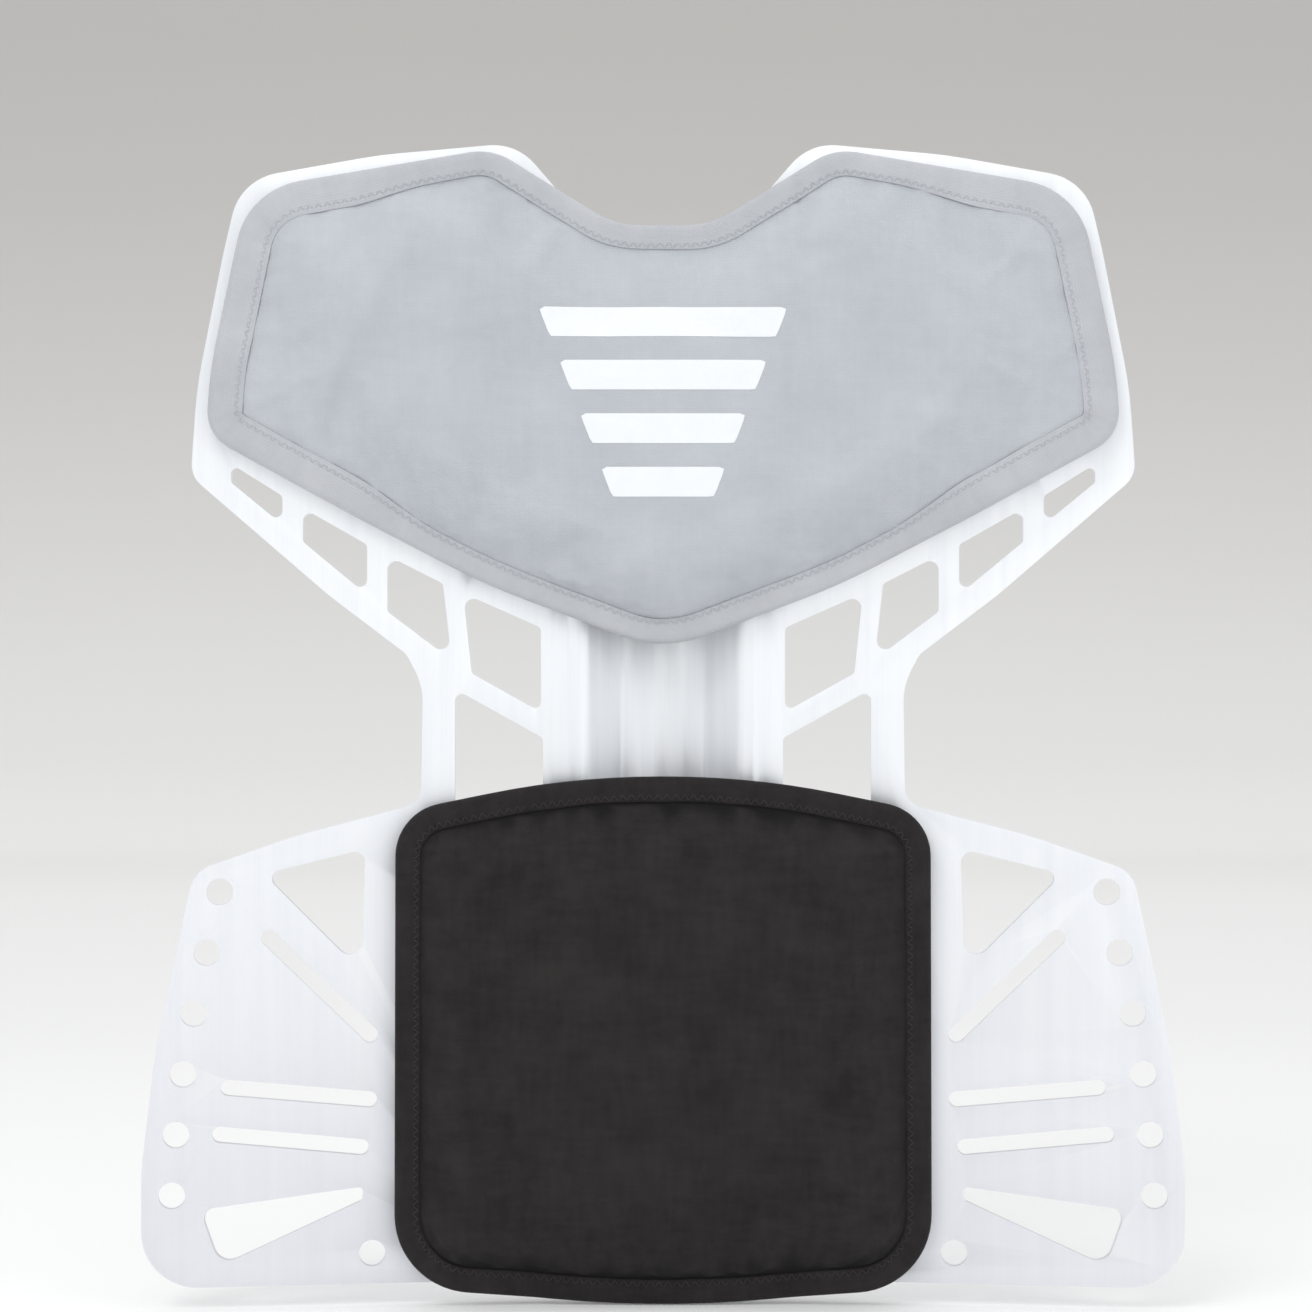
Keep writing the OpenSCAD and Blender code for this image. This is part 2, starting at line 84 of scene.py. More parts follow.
def applyModifiers(piece):
    graph = bpy.context.evaluated_depsgraph_get()
    finished = bpy.data.meshes.new_from_object(
        piece.evaluated_get(graph), preserve_all_data_layers=True, depsgraph=graph)
    piece.modifiers.clear()
    piece.data = finished


def faceOutwards(mesh):
    bm = bmesh.new()
    bm.from_mesh(mesh)
    bmesh.ops.recalc_face_normals(bm, faces=bm.faces)
    bm.to_mesh(mesh)
    bm.free()


def finishPiece(piece, body, slotName, *nodes):
    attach(piece, body)
    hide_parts(*nodes)


def mergedNode(node, flatAngle):
    # a node's loose triangles joined up, with its flat areas as single faces
    bm = bmesh.new()
    bm.from_mesh(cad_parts[node].data)
    bmesh.ops.remove_doubles(bm, verts=bm.verts, dist=meshWork["weld"])
    if flatAngle:
        bmesh.ops.dissolve_limit(bm, angle_limit=math.radians(flatAngle), verts=bm.verts, edges=bm.edges)
    return bm


def roundEdges(piece, width, steps, cornerAngle, hardened):
    bevel = piece.modifiers.new("edges", "BEVEL")
    bevel.width = width
    bevel.segments = steps
    bevel.limit_method = "ANGLE"
    bevel.angle_limit = math.radians(cornerAngle)
    bevel.harden_normals = hardened
    applyModifiers(piece)


def dressNode(node, name, body, slotName, material, edgeRound, edgeSteps):
    # the node's own shape with its edges rounded over
    bm = mergedNode(node, meshWork["flatAngle"])
    mesh = bpy.data.meshes.new(name)
    bm.to_mesh(mesh)
    bm.free()
    mesh.shade_smooth()
    piece = placeMesh(name, mesh, material)
    roundEdges(piece, edgeRound, edgeSteps, meshWork["cornerAngle"], True)
    finishPiece(piece, body, slotName, node)
    return piece


def meshParts(bm):
    # the vertices of each separate part
    left = set(bm.verts)
    parts = []
    for first in bm.verts:
        if first not in left:
            continue
        left.discard(first)
        part = [first]
        for vertex in part:
            for edge in vertex.link_edges:
                other = edge.other_vert(vertex)
                if other in left:
                    left.discard(other)
                    part.append(other)
        parts.append(part)
    return parts


def partCentres(node):
    # the middle of each separate part of a node, seen from the front
    bm = mergedNode(node, 0)
    parts = [np.array([(v.co.x, v.co.z) for v in part]) for part in meshParts(bm)]
    bm.free()
    return [(part.min(0) + part.max(0)) / 2 for part in parts]


def wallLoops(node):
    # the closed loops that a node's side walls follow, seen from the front, longest way round first
    bm = mergedNode(node, 0)
    links = {}
    for face in bm.faces:
        if abs(face.normal.y) > meshWork["wallTilt"]:
            continue
        for edge in face.edges:
            a, b = [(round(v.co.x, 6), round(v.co.z, 6)) for v in edge.verts]
            if a != b:
                links.setdefault(a, set()).add(b)
                links.setdefault(b, set()).add(a)
    bm.free()
    loops = []
    left = set(links)
    while left:
        first = min(left)
        loop, here = [first], first
        left.discard(first)
        while True:
            ahead = [p for p in sorted(links[here]) if p in left]
            if not ahead:
                break
            here = ahead[0]
            left.discard(here)
            loop.append(here)
        loops.append(anticlockwise(np.array(loop)))
    return sorted(loops, key=loopArea, reverse=True)


def loopArea(loop):
    ahead = np.roll(loop, -1, axis=0)
    return 0.5 * float(np.sum(loop[:, 0] * ahead[:, 1] - ahead[:, 0] * loop[:, 1]))


def anticlockwise(loop):
    return loop if loopArea(loop) > 0 else loop[::-1]


def evenLoop(loop, spacing):
    # the loop again with points an even distance apart
    closed = np.vstack([loop, loop[:1]])
    steps = np.hypot(*np.diff(closed, axis=0).T)
    along = np.concatenate([[0], np.cumsum(steps)])
    count = int(round(along[-1] / spacing / 2)) * 2
    at = np.linspace(0, along[-1], count, endpoint=False)
    return np.column_stack([np.interp(at, along, closed[:, k]) for k in (0, 1)])


def inwardNormals(loop):
    tangent = np.roll(loop, -1, axis=0) - np.roll(loop, 1, axis=0)
    tangent /= np.hypot(*tangent.T)[:, None]
    return np.column_stack([-tangent[:, 1], tangent[:, 0]])


def edgeDistance(points, loop):
    # how far inside the loop each point is, and how far round the loop the nearest edge point lies
    ahead = np.roll(loop, -1, axis=0)
    span = ahead - loop
    length = np.hypot(*span.T)
    around = np.concatenate([[0], np.cumsum(length)[:-1]])
    distance = np.empty(len(points))
    place = np.empty(len(points))
    for start in range(0, len(points), meshWork["batch"]):
        here = slice(start, start + meshWork["batch"])
        part = points[here]
        offset = part[:, None, :] - loop[None]
        t = np.clip((offset * span).sum(2) / (length ** 2), 0, 1)
        gap = np.hypot(*(offset - t[..., None] * span).transpose(2, 0, 1))
        nearest = gap.argmin(1)
        rows = np.arange(len(part))
        above = loop[None, :, 1] > part[:, None, 1]
        aboveNext = ahead[None, :, 1] > part[:, None, 1]
        crossX = loop[None, :, 0] + (part[:, None, 1] - loop[None, :, 1]) * span[None, :, 0] / np.where(
            span[None, :, 1] == 0, 1e-12, span[None, :, 1])
        inside = ((above != aboveNext) & (part[:, None, 0] < crossX)).sum(1) % 2 == 1
        distance[here] = np.where(inside, 1, -1) * gap[rows, nearest]
        place[here] = around[nearest] + t[rows, nearest] * length[nearest]
    return distance, place


def fillLoop(loop, spacing, rings=(), holes=()):
    # triangles that fill a loop: its own points, its holes', then rings that follow it, then an even lattice
    points = [loop, *holes]
    normals = inwardNormals(loop)
    for ring in rings:
        moved = loop + normals * ring
        gap, _ = edgeDistance(moved, loop)
        points.append(moved[gap > meshWork["ringRoom"] * ring])
    low, high = loop.min(0), loop.max(0)
    rowStep = spacing * math.sqrt(3) / 2
    rows = int((high[1] - low[1]) / rowStep) + 1
    columns = int((high[0] - low[0]) / spacing) + 2
    lattice = np.array([
        (low[0] + (c + 0.5 * (r % 2)) * spacing, low[1] + r * rowStep)
        for r in range(rows) for c in range(columns)])
    gap, _ = edgeDistance(lattice, loop)
    edgeRoom = (max(rings) if rings else 0) + meshWork["latticeRoom"] * spacing
    points.append(lattice[gap > edgeRoom])
    for hole in holes:
        for k in range(1 + len(holes), len(points)):
            points[k] = points[k][edgeDistance(points[k], hole)[0] < -meshWork["holeRoom"]]
    flat = np.vstack(points)
    border, start = [], 0
    for edge in (loop, *holes):
        border += [(start + k, start + (k + 1) % len(edge)) for k in range(len(edge))]
        start += len(edge)
    result = delaunay_2d_cdt([Vector(p) for p in flat], border, [], 1, 1e-7)
    flat = np.array([tuple(v) for v in result[0]])
    faces = [tuple(f) for f in result[2]]
    for hole in holes:
        middles = flat[np.array(faces)].mean(1)
        inHole = edgeDistance(middles, hole)[0] > 0
        faces = [f for f, gone in zip(faces, inHole) if not gone]
    return flat, faces


def closeShell(flat, faces, loops, frontY, backY):
    # a closed solid: the filled loop in front, the same behind, and a wall along each loop
    count = len(flat)
    points = np.vstack([np.column_stack([flat[:, 0], y, flat[:, 1]]) for y in (frontY, backY)])
    shell = list(faces) + [tuple(count + k for k in reversed(f)) for f in faces]
    start = 0
    for loop in loops:
        for k in range(len(loop)):
            here, ahead = start + k, start + (k + 1) % len(loop)
            shell.append((ahead, here, count + here, count + ahead))
        start += len(loop)
    return points, shell


# The pads' shared bend: where the back of a pad is, at each distance out from the spine

def bendOf(node):
    co = np.array([tuple(v.co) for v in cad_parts[node].data.vertices])
    out = np.round(np.abs(co[:, 0]) / mm, 1) * mm
    places = np.unique(out)
    rear = np.array([co[out == x, 1].max() for x in places])
    return places, rear


bendX, bendY = bendOf("upper_pad_liner")


def padBack(x):
    return np.interp(np.abs(x), bendX, bendY)


# Working with materials

def startMaterial(name, settings):
    material = bpy.data.materials.new(name)
    material.use_nodes = True
    tree = material.node_tree
    shader = tree.nodes["Principled BSDF"]
    for socket, value in settings.items():
        shader.inputs[socket].default_value = value
    return material, tree, shader


def setInput(tree, target, value):
    # linked to another node's output, or set to a plain value
    if isinstance(value, bpy.types.NodeSocket):
        tree.links.new(value, target)
    else:
        target.default_value = value


def addNode(tree, kind, **values):
    node = tree.nodes.new(kind)
    for name, value in values.items():
        setInput(tree, node.inputs[name.replace("_", " ")], value)
    return node


def mathNode(tree, operation, *values):
    node = tree.nodes.new("ShaderNodeMath")
    node.operation = operation
    for target, value in zip(node.inputs, values):
        setInput(tree, target, value)
    return node.outputs[0]


def mixColour(tree, factor, a, b):
    node = tree.nodes.new("ShaderNodeMix")
    node.data_type = "RGBA"
    for k, value in ((0, factor), (6, a), (7, b)):
        setInput(tree, node.inputs[k], (*value, 1) if isinstance(value, tuple) else value)
    return node.outputs[2]


def mapRange(tree, value, low, high, most=1.0):
    # 0 at the low value and the most at the high one
    return addNode(tree, "ShaderNodeMapRange", Value=value, From_Min=low, From_Max=high, To_Max=most).outputs[0]


def axesOf(tree, place):
    return addNode(tree, "ShaderNodeSeparateXYZ", Vector=place).outputs


def scaledPlace(tree, place, scale):
    return addNode(tree, "ShaderNodeMapping", Scale=scale, Vector=place).outputs[0]


def objectPlace(tree, scale=(1, 1, 1)):
    return scaledPlace(tree, tree.nodes.new("ShaderNodeTexCoord").outputs["Object"], scale)


def tapePlace(tree):
    # along the tape and across it, in metres
    along, across, _ = axesOf(tree, tree.nodes.new("ShaderNodeTexCoord").outputs["UV"])
    return addNode(tree, "ShaderNodeCombineXYZ", X=along, Z=across).outputs[0]


def noiseOf(tree, place, scale, detail, roughness=0.5):
    return addNode(tree, "ShaderNodeTexNoise", Vector=place, Scale=scale, Detail=detail,
                   Roughness=roughness).outputs["Fac"]


def darker(colour, share):
    return tuple(share * c for c in colour)


def finishLook(tree, shader, colour, wear, roughness, height, depth):
    # the colour, a roughness with its least value and what the wear adds to it, and the bump
    least, spread = roughness
    tree.links.new(colour, shader.inputs["Base Color"])
    tree.links.new(mathNode(tree, "MULTIPLY_ADD", wear, spread, least), shader.inputs["Roughness"])
    bump = addNode(tree, "ShaderNodeBump", Distance=depth, Height=height)
    tree.links.new(bump.outputs["Normal"], shader.inputs["Normal"])


def useGroup(tree, group, values):
    node = tree.nodes.new("ShaderNodeGroup")
    node.node_tree = group
    for name, value in values.items():
        setInput(tree, node.inputs[name], value)
    return node


def startGroup(name, inputs, outputs):
    group = bpy.data.node_groups.new(name, "ShaderNodeTree")
    for socket, kind in inputs:
        group.interface.new_socket(socket, in_out="INPUT", socket_type=kind)
    for socket in outputs:
        group.interface.new_socket(socket, in_out="OUTPUT", socket_type="NodeSocketFloat")
    return group, group.nodes.new("NodeGroupInput").outputs, group.nodes.new("NodeGroupOutput").inputs


def plainWeave():
    # threads that pass over and under each other, across and up the cloth
    group, given, out = startGroup(
        "plain weave",
        [("Place", "NodeSocketVector"), ("Pitch", "NodeSocketFloat"), ("Slub", "NodeSocketFloat")],
        ["Height", "Thread"])
    maths = partial(mathNode, group)
    x, _, z = axesOf(group, given["Place"])
    slub = maths("MULTIPLY", maths("SUBTRACT", noiseOf(group, given["Place"], 260, 2), 0.5), given["Slub"])
    warpWave, weftWave = [
        maths("SINE", maths("MULTIPLY", maths("ADD", maths("DIVIDE", place, given["Pitch"]), slub), math.pi))
        for place in (x, z)]
    over = maths("GREATER_THAN", maths("MULTIPLY", warpWave, weftWave), 0.0)
    warpPart = maths("MULTIPLY", maths("ABSOLUTE", warpWave), over)
    weftPart = maths("MULTIPLY", maths("ABSOLUTE", weftWave), maths("SUBTRACT", 1.0, over))
    group.links.new(maths("ADD", warpPart, weftPart), out["Height"])
    group.links.new(over, out["Thread"])
    return group


def brushedGrain():
    # fine lines along the sheet's length, over slower streaks
    group, given, out = startGroup(
        "brushed grain",
        [("Place", "NodeSocketVector"), ("Line", "NodeSocketFloat"), ("Streak", "NodeSocketFloat")],
        ["Height", "Tone"])

    def stretched(width, ratio):
        per = mathNode(group, "DIVIDE", 1.0, width)
        size = addNode(group, "ShaderNodeCombineXYZ", X=per, Y=per, Z=mathNode(group, "DIVIDE", per, ratio))
        scaled = group.nodes.new("ShaderNodeVectorMath")
        scaled.operation = "MULTIPLY"
        group.links.new(given["Place"], scaled.inputs[0])
        group.links.new(size.outputs[0], scaled.inputs[1])
        return scaled.outputs[0]

    lines = noiseOf(group, stretched(given["Line"], 90.0), 1, 4, 0.65)
    streaks = noiseOf(group, stretched(given["Streak"], 40.0), 1, 2, 0.5)
    group.links.new(lines, out["Height"])
    mixed = mathNode(group, "MULTIPLY_ADD", lines, 0.45, mathNode(group, "MULTIPLY", streaks, 0.55))
    group.links.new(mixed, out["Tone"])
    return group


weaveGroup = plainWeave()
grainGroup = brushedGrain()


def brushedSheet():
    look = {"line": 0.45 * mm, "streak": 5 * mm, "dark": (0.872, 0.90, 0.932), "light": (0.955, 0.972, 0.99),
            "roughness": (0.46, 0.14), "grainDepth": 0.018 * mm,
            "lowShadeFrom": 20 * mm, "lowShadeTo": -170 * mm, "lowShade": 0.42, "lowShadeTone": (0.60, 0.59, 0.64),
            "edgeFrom": 0.52, "edgeTo": 0.62, "edgeBright": 0.25, "edgeTone": (0.99, 0.99, 1.0)}
    material, tree, shader = startMaterial("brushed plate", {"Metallic": 0.45, "Anisotropic": 0.3})
    place = objectPlace(tree)
    grain = useGroup(tree, grainGroup, {"Place": place, "Line": look["line"], "Streak": look["streak"]}).outputs
    colour = mixColour(tree, mapRange(tree, grain["Tone"], 0.3, 0.7), look["dark"], look["light"])
    # painted shade: the sheet is coloured darker and greyer towards its lower part
    lowerShade = mapRange(tree, axesOf(tree, place)[2], look["lowShadeFrom"], look["lowShadeTo"], look["lowShade"])
    colour = mixColour(tree, lowerShade, colour, look["lowShadeTone"])
    pointed = tree.nodes.new("ShaderNodeNewGeometry").outputs["Pointiness"]
    worn = mapRange(tree, pointed, look["edgeFrom"], look["edgeTo"], look["edgeBright"])
    colour = mixColour(tree, worn, colour, look["edgeTone"])
    finishLook(tree, shader, colour, grain["Height"], look["roughness"], grain["Height"], look["grainDepth"])
    return material


def turnedSteel(name, colour, roughness, ringPitch):
    material, tree, shader = startMaterial(name, {"Metallic": 1.0})
    maths = partial(mathNode, tree)
    place = objectPlace(tree)
    rings = maths("SINE", maths("MULTIPLY", axesOf(tree, place)[1], 2 * math.pi / ringPitch))
    scuffs = noiseOf(tree, place, 900, 4, 0.7)
    finishLook(tree, shader, mixColour(tree, scuffs, colour, darker(colour, 0.75)), scuffs, (roughness, 0.2),
               maths("MULTIPLY_ADD", rings, 0.5, scuffs), 0.03 * mm)
    return material


def wovenFabric(name, look):
    material, tree, shader = startMaterial(
        name, {"Sheen Weight": look["sheen"], "Sheen Roughness": 0.45, "Specular IOR Level": 0.25})
    maths = partial(mathNode, tree)
    place = tapePlace(tree) if look.get("alongTape") else objectPlace(tree)
    weave = useGroup(tree, weaveGroup, {"Place": place, "Pitch": look["pitch"], "Slub": look["slub"]}).outputs
    mottle = noiseOf(tree, place, look["mottleScale"], 4, 0.6)
    runs = [noiseOf(tree, scaledPlace(tree, place, stretch), look["runScale"], 3, 0.6)
            for stretch in ((1, 1, 5), (5, 1, 1))]
    uneven = maths("MULTIPLY_ADD", maths("SUBTRACT", maths("ADD", *runs), 1.0), look["runs"], mottle)
    colour = mixColour(tree, mapRange(tree, uneven, 0.25, 0.75), look["dark"], look["light"])
    gaps = maths("MULTIPLY", maths("SUBTRACT", 1.0, weave["Height"]), look["gapShade"])
    colour = mixColour(tree, gaps, colour, darker(look["dark"], 0.45))
    colour = mixColour(tree, maths("MULTIPLY", weave["Thread"], look["threadShift"]), colour, look["light"])
    # painted shade: the colour goes darker along the seam and in the puckers, as the cover's crease attribute says
    if look["paintedSeamShade"]:
        crease = tree.nodes.new("ShaderNodeAttribute")
        crease.attribute_name = "crease"
        paintedSeamShade = maths("MULTIPLY", crease.outputs["Fac"], look["paintedSeamShade"])
        colour = mixColour(tree, paintedSeamShade, colour, darker(look["dark"], 0.35))
    fuzz = noiseOf(tree, place, 1600, 3, 0.7)
    finishLook(tree, shader, colour, mottle, (look["roughness"], 0.12),
               maths("MULTIPLY_ADD", fuzz, 0.4, weave["Height"]), look["depth"])
    return material


def grainyMaterial(name, look):
    # one fine noise gives the colour, the roughness and the bump
    material, tree, shader = startMaterial(
        name, {"Sheen Weight": look["sheen"], "Specular IOR Level": look["specular"]})
    grain = noiseOf(tree, objectPlace(tree), *look["grain"])
    finishLook(tree, shader, mixColour(tree, grain, look["dark"], look["light"]), grain, look["roughness"],
               grain, look["depth"])
    return material


def threadMaterial(name, colour):
    return grainyMaterial(name, {"sheen": 0.1, "specular": 0.4, "grain": (2600, 2, 0.6), "depth": 0.05 * mm,
                                 "dark": darker(colour, 0.7), "light": colour, "roughness": (0.45, 0.2)})


def foamMaterial():
    material, tree, shader = startMaterial("closed cell foam", {"Specular IOR Level": 0.2})
    cells = addNode(tree, "ShaderNodeTexVoronoi", Scale=1400, Vector=objectPlace(tree)).outputs["Distance"]
    colour = mixColour(tree, cells, (0.07, 0.072, 0.078), (0.13, 0.135, 0.145))
    finishLook(tree, shader, colour, cells, (0.8, 0.15), cells, 0.2 * mm)
    return material


def spacerMesh():
    # small round openings in staggered rows
    material, tree, shader = startMaterial("spacer mesh liner", {"Sheen Weight": 0.15, "Specular IOR Level": 0.3})
    cells = addNode(tree, "ShaderNodeTexVoronoi", Scale=1 / (2.2 * mm), Randomness=0.12,
                    Vector=objectPlace(tree, (1, 0, 1))).outputs["Distance"]
    pore = mapRange(tree, cells, 0.18, 0.42)
    fibre = noiseOf(tree, objectPlace(tree), 1500, 3, 0.7)
    colour = mixColour(tree, pore, (0.006, 0.006, 0.007), (0.045, 0.045, 0.05))
    colour = mixColour(tree, mathNode(tree, "MULTIPLY", fibre, 0.3), colour, (0.09, 0.09, 0.095))
    finishLook(tree, shader, colour, fibre, (0.75, 0.15), pore, 0.5 * mm)
    return material


def printedInk():
    # screen print that lets the weave show through a little
    material, tree, shader = startMaterial("white screen print", {"Specular IOR Level": 0.35})
    place = objectPlace(tree)
    weave = useGroup(tree, weaveGroup, {"Place": place, "Pitch": upperLook["pitch"], "Slub": upperLook["slub"]})
    patchy = noiseOf(tree, place, 160, 4, 0.6)
    colour = mixColour(tree, patchy, (0.86, 0.89, 0.92), (0.93, 0.95, 0.97))
    finishLook(tree, shader, colour, patchy, (0.5, 0.15), weave.outputs["Height"], 0.04 * mm)
    return material


upperLook = {"pitch": 0.62 * mm, "slub": 0.5, "dark": (0.51, 0.537, 0.574), "light": (0.585, 0.612, 0.652),
             "mottleScale": 38, "runScale": 60, "runs": 0.3, "gapShade": 0.22, "threadShift": 0.12,
             "roughness": 0.74, "depth": 0.07 * mm, "sheen": 0.12, "paintedSeamShade": 0.2}
upperTapeLook = dict(upperLook, alongTape=True, dark=(0.50, 0.515, 0.548), light=(0.585, 0.60, 0.63), paintedSeamShade=0)
lumbarLook = {"pitch": 0.62 * mm, "slub": 0.5, "dark": (0.0130, 0.0109, 0.0111), "light": (0.0285, 0.0246, 0.0249),
              "mottleScale": 70, "runScale": 80, "runs": 0.55, "gapShade": 0.3, "threadShift": 0.15,
              "roughness": 0.78, "depth": 0.07 * mm, "sheen": 0.06, "paintedSeamShade": 0.92}
lumbarTapeLook = dict(lumbarLook, alongTape=True, dark=(0.0135, 0.0112, 0.0118), light=(0.0275, 0.0240, 0.0247),
                      paintedSeamShade=0)

plateMetal = brushedSheet()
studSteel = turnedSteel("bright press stud steel", (0.74, 0.76, 0.78), 0.18, 0.25 * mm)
nutSteel = turnedSteel("threaded steel", (0.66, 0.68, 0.70), 0.30, 0.7 * mm)
upperFabric = wovenFabric("pale grey nylon", upperLook)
upperTape = wovenFabric("pale grey edge tape", upperTapeLook)
lumbarFabric = wovenFabric("black nylon", lumbarLook)
lumbarTape = wovenFabric("black edge tape", lumbarTapeLook)
upperThread = threadMaterial("pale grey thread", (0.54, 0.56, 0.59))
lumbarThread = threadMaterial("black thread", (0.032, 0.028, 0.029))
foamLook = foamMaterial()
linerLook = spacerMesh()
hookLook = grainyMaterial("hook tape", {
    "sheen": 0.3, "specular": 0.3, "grain": (1500, 4, 0.75), "dark": (0.008, 0.008, 0.009),
    "light": (0.03, 0.03, 0.033), "roughness": (0.7, 0.2), "depth": 0.3 * mm})
loopLook = grainyMaterial("loop tape", {
    "sheen": 0.3, "specular": 0.3, "grain": (800, 4, 0.75), "dark": (0.014, 0.014, 0.016),
    "light": (0.05, 0.05, 0.055), "roughness": (0.7, 0.2), "depth": 0.5 * mm})
plasticLook = grainyMaterial("stiffener sheet plastic", {
    "sheen": 0, "specular": 0.45, "grain": (700, 4, 0.6), "dark": (0.58, 0.58, 0.55),
    "light": (0.68, 0.68, 0.65), "roughness": (0.4, 0.2), "depth": 0.05 * mm})
inkLook = printedInk()
print("materials made:", len(bpy.data.materials))


# Small repeated shapes: hooks and stitches

def startShapeTree(name, inputs, result):
    tree = bpy.data.node_groups.new(name, "GeometryNodeTree")
    for socket, kind in inputs:
        tree.interface.new_socket(socket, in_out="INPUT", socket_type=kind)
    tree.interface.new_socket(result, in_out="OUTPUT", socket_type="NodeSocketGeometry")
    given, out = tree.nodes.new("NodeGroupInput").outputs, tree.nodes.new("NodeGroupOutput").inputs
    return tree, given, out[result], partial(addNode, tree)


def endShapeTree(tree, shape, material, out, add):
    # smooth, real and painted
    smooth = add("GeometryNodeSetShadeSmooth", Geometry=shape)
    real = add("GeometryNodeRealizeInstances", Geometry=smooth.outputs[0])
    painted = add("GeometryNodeSetMaterial", Geometry=real.outputs[0], Material=material)
    tree.links.new(painted.outputs[0], out)
    return tree


def bakeTree(piece, tree, values):
    # the tree's result as a plain mesh
    modifier = piece.modifiers.new("shape", "NODES")
    modifier.node_group = tree
    for item in tree.interface.items_tree:
        if item.in_out == "INPUT" and item.name in values:
            modifier[item.identifier] = values[item.name]
    applyModifiers(piece)


def hookTree():
    # small bent hooks standing on a ground, each turned its own way
    tree, given, out, add = startShapeTree(
        "tape hooks",
        [("Ground", "NodeSocketGeometry"), ("Spacing", "NodeSocketFloat"), ("Height", "NodeSocketFloat"),
         ("Seed", "NodeSocketInt"), ("Hook", "NodeSocketMaterial")], "Hooks")
    places = tree.nodes.new("GeometryNodeDistributePointsOnFaces")
    places.distribute_method = "POISSON"
    tree.links.new(given["Ground"], places.inputs["Mesh"])
    tree.links.new(given["Spacing"], places.inputs["Distance Min"])
    tree.links.new(given["Seed"], places.inputs["Seed"])
    places.inputs["Density Max"].default_value = 2e6
    # one hook of height 1: up, over and back down
    bend = add("GeometryNodeCurvePrimitiveBezierSegment", Resolution=5, Start=(0, 0, -0.1),
               Start_Handle=(0, 0, 1.0), End_Handle=(0.62, 0, 1.3), End=(0.62, 0, 0.5))
    circle = add("GeometryNodeCurvePrimitiveCircle", Resolution=4, Radius=0.12)
    hook = add("GeometryNodeCurveToMesh", Curve=bend.outputs[0], Profile_Curve=circle.outputs[0], Fill_Caps=True)
    size = add("ShaderNodeCombineXYZ", X=given["Height"], Y=given["Height"], Z=given["Height"])
    stood = add("GeometryNodeInstanceOnPoints", Points=places.outputs["Points"], Instance=hook.outputs[0],
                Rotation=places.outputs["Rotation"], Scale=size.outputs[0])
    turn = tree.nodes.new("FunctionNodeRandomValue")
    turn.data_type = "FLOAT"
    turn.inputs[3].default_value = 2 * math.pi
    tree.links.new(given["Seed"], turn.inputs["Seed"])
    spin = add("ShaderNodeCombineXYZ", Z=turn.outputs[1])
    turned = add("GeometryNodeRotateInstances", Instances=stood.outputs[0], Rotation=spin.outputs[0])
    return endShapeTree(tree, turned.outputs[0], given["Hook"], out, add)


hooksTree = hookTree()
hookShape = {"room": 0.95 * mm, "height": 0.78 * mm, "spacing": 1.7 * mm, "seed": 5,
             "frontFace": 100 * mm ** 2, "frontTilt": -0.9}


def standHooks(area, patches):
    # the patch is thinned to its backing, and the hooks stand on what is left
    bm = bmesh.new()
    bm.from_mesh(patches.data)
    for part in meshParts(bm):
        faces = {face for vertex in part for face in vertex.link_faces if face.normal.y < 0}
        facing = max(faces, key=lambda face: face.calc_area()).normal.copy()
        levels = {vertex: vertex.co.dot(facing) for vertex in part}
        low, high = min(levels.values()), max(levels.values())
        for vertex, level in levels.items():
            vertex.co -= facing * (hookShape["room"] * (level - low) / (high - low))
    bm.normal_update()
    bm.to_mesh(patches.data)
    rest = [face for face in bm.faces
            if face.normal.y > hookShape["frontTilt"] or face.calc_area() < hookShape["frontFace"]]
    bmesh.ops.delete(bm, geom=rest, context="FACES")
    ground = bpy.data.meshes.new(area + "Hooks")
    bm.to_mesh(ground)
    bm.free()
    piece = placeMesh(area + "Hooks", ground)
    bakeTree(piece, hooksTree, {"Spacing": hookShape["spacing"], "Height": hookShape["height"],
                                "Seed": hookShape["seed"], "Hook": hookLook})
    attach(piece, "plate")
    print(piece.name, len(piece.data.polygons), "faces")


# Plate and its hardware

plateShape = {"edgeRound": 0.4 * mm, "edgeSteps": 2}
dressNode("backplate", "plate", "plate", "plate_metal", plateMetal, plateShape["edgeRound"], plateShape["edgeSteps"])

# node, piece, whether it rides on the pad, slot, material, and the round of its edges with its steps
hardwareShape = (
    ("press_studs", "PressStuds", False, "hardware_steel", studSteel, 0.3 * mm, 3),
    ("stud_washers", "StudWashers", False, "hardware_steel", nutSteel, 0.12 * mm, 2),
    ("stud_nuts", "StudNuts", False, "hardware_steel", nutSteel, 0.35 * mm, 2),
    ("stud_sockets", "StudSockets", True, "hardware_steel", studSteel, 0.35 * mm, 3),
    ("socket_caps", "SocketCaps", True, "hardware_steel", studSteel, 0.3 * mm, 3),
    ("hook_patches", "HookPatches", False, "hook_and_loop", hookLook, 0.25 * mm, 2),
    ("pad_loop_patches", "LoopPatches", True, "hook_and_loop", loopLook, 0.25 * mm, 2),
    ("pad_stiffener", "Stiffener", True, "stiffener_plastic", plasticLook, 0.2 * mm, 2))


def dressHardware(area):
    for node, name, onPad, slotName, material, edgeRound, edgeSteps in hardwareShape:
        body = area + "_pad" if onPad else "plate"
        piece = dressNode(area + "_" + node, area + name, body, slotName, material, edgeRound, edgeSteps)
        if name == "HookPatches":
            standHooks(area, piece)
    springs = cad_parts[area + "_socket_springs"].data.materials
    springs.clear()
    springs.append(nutSteel)


dressHardware("upper")
dressHardware("lumbar")
print("plate and hardware dressed")


# Pads

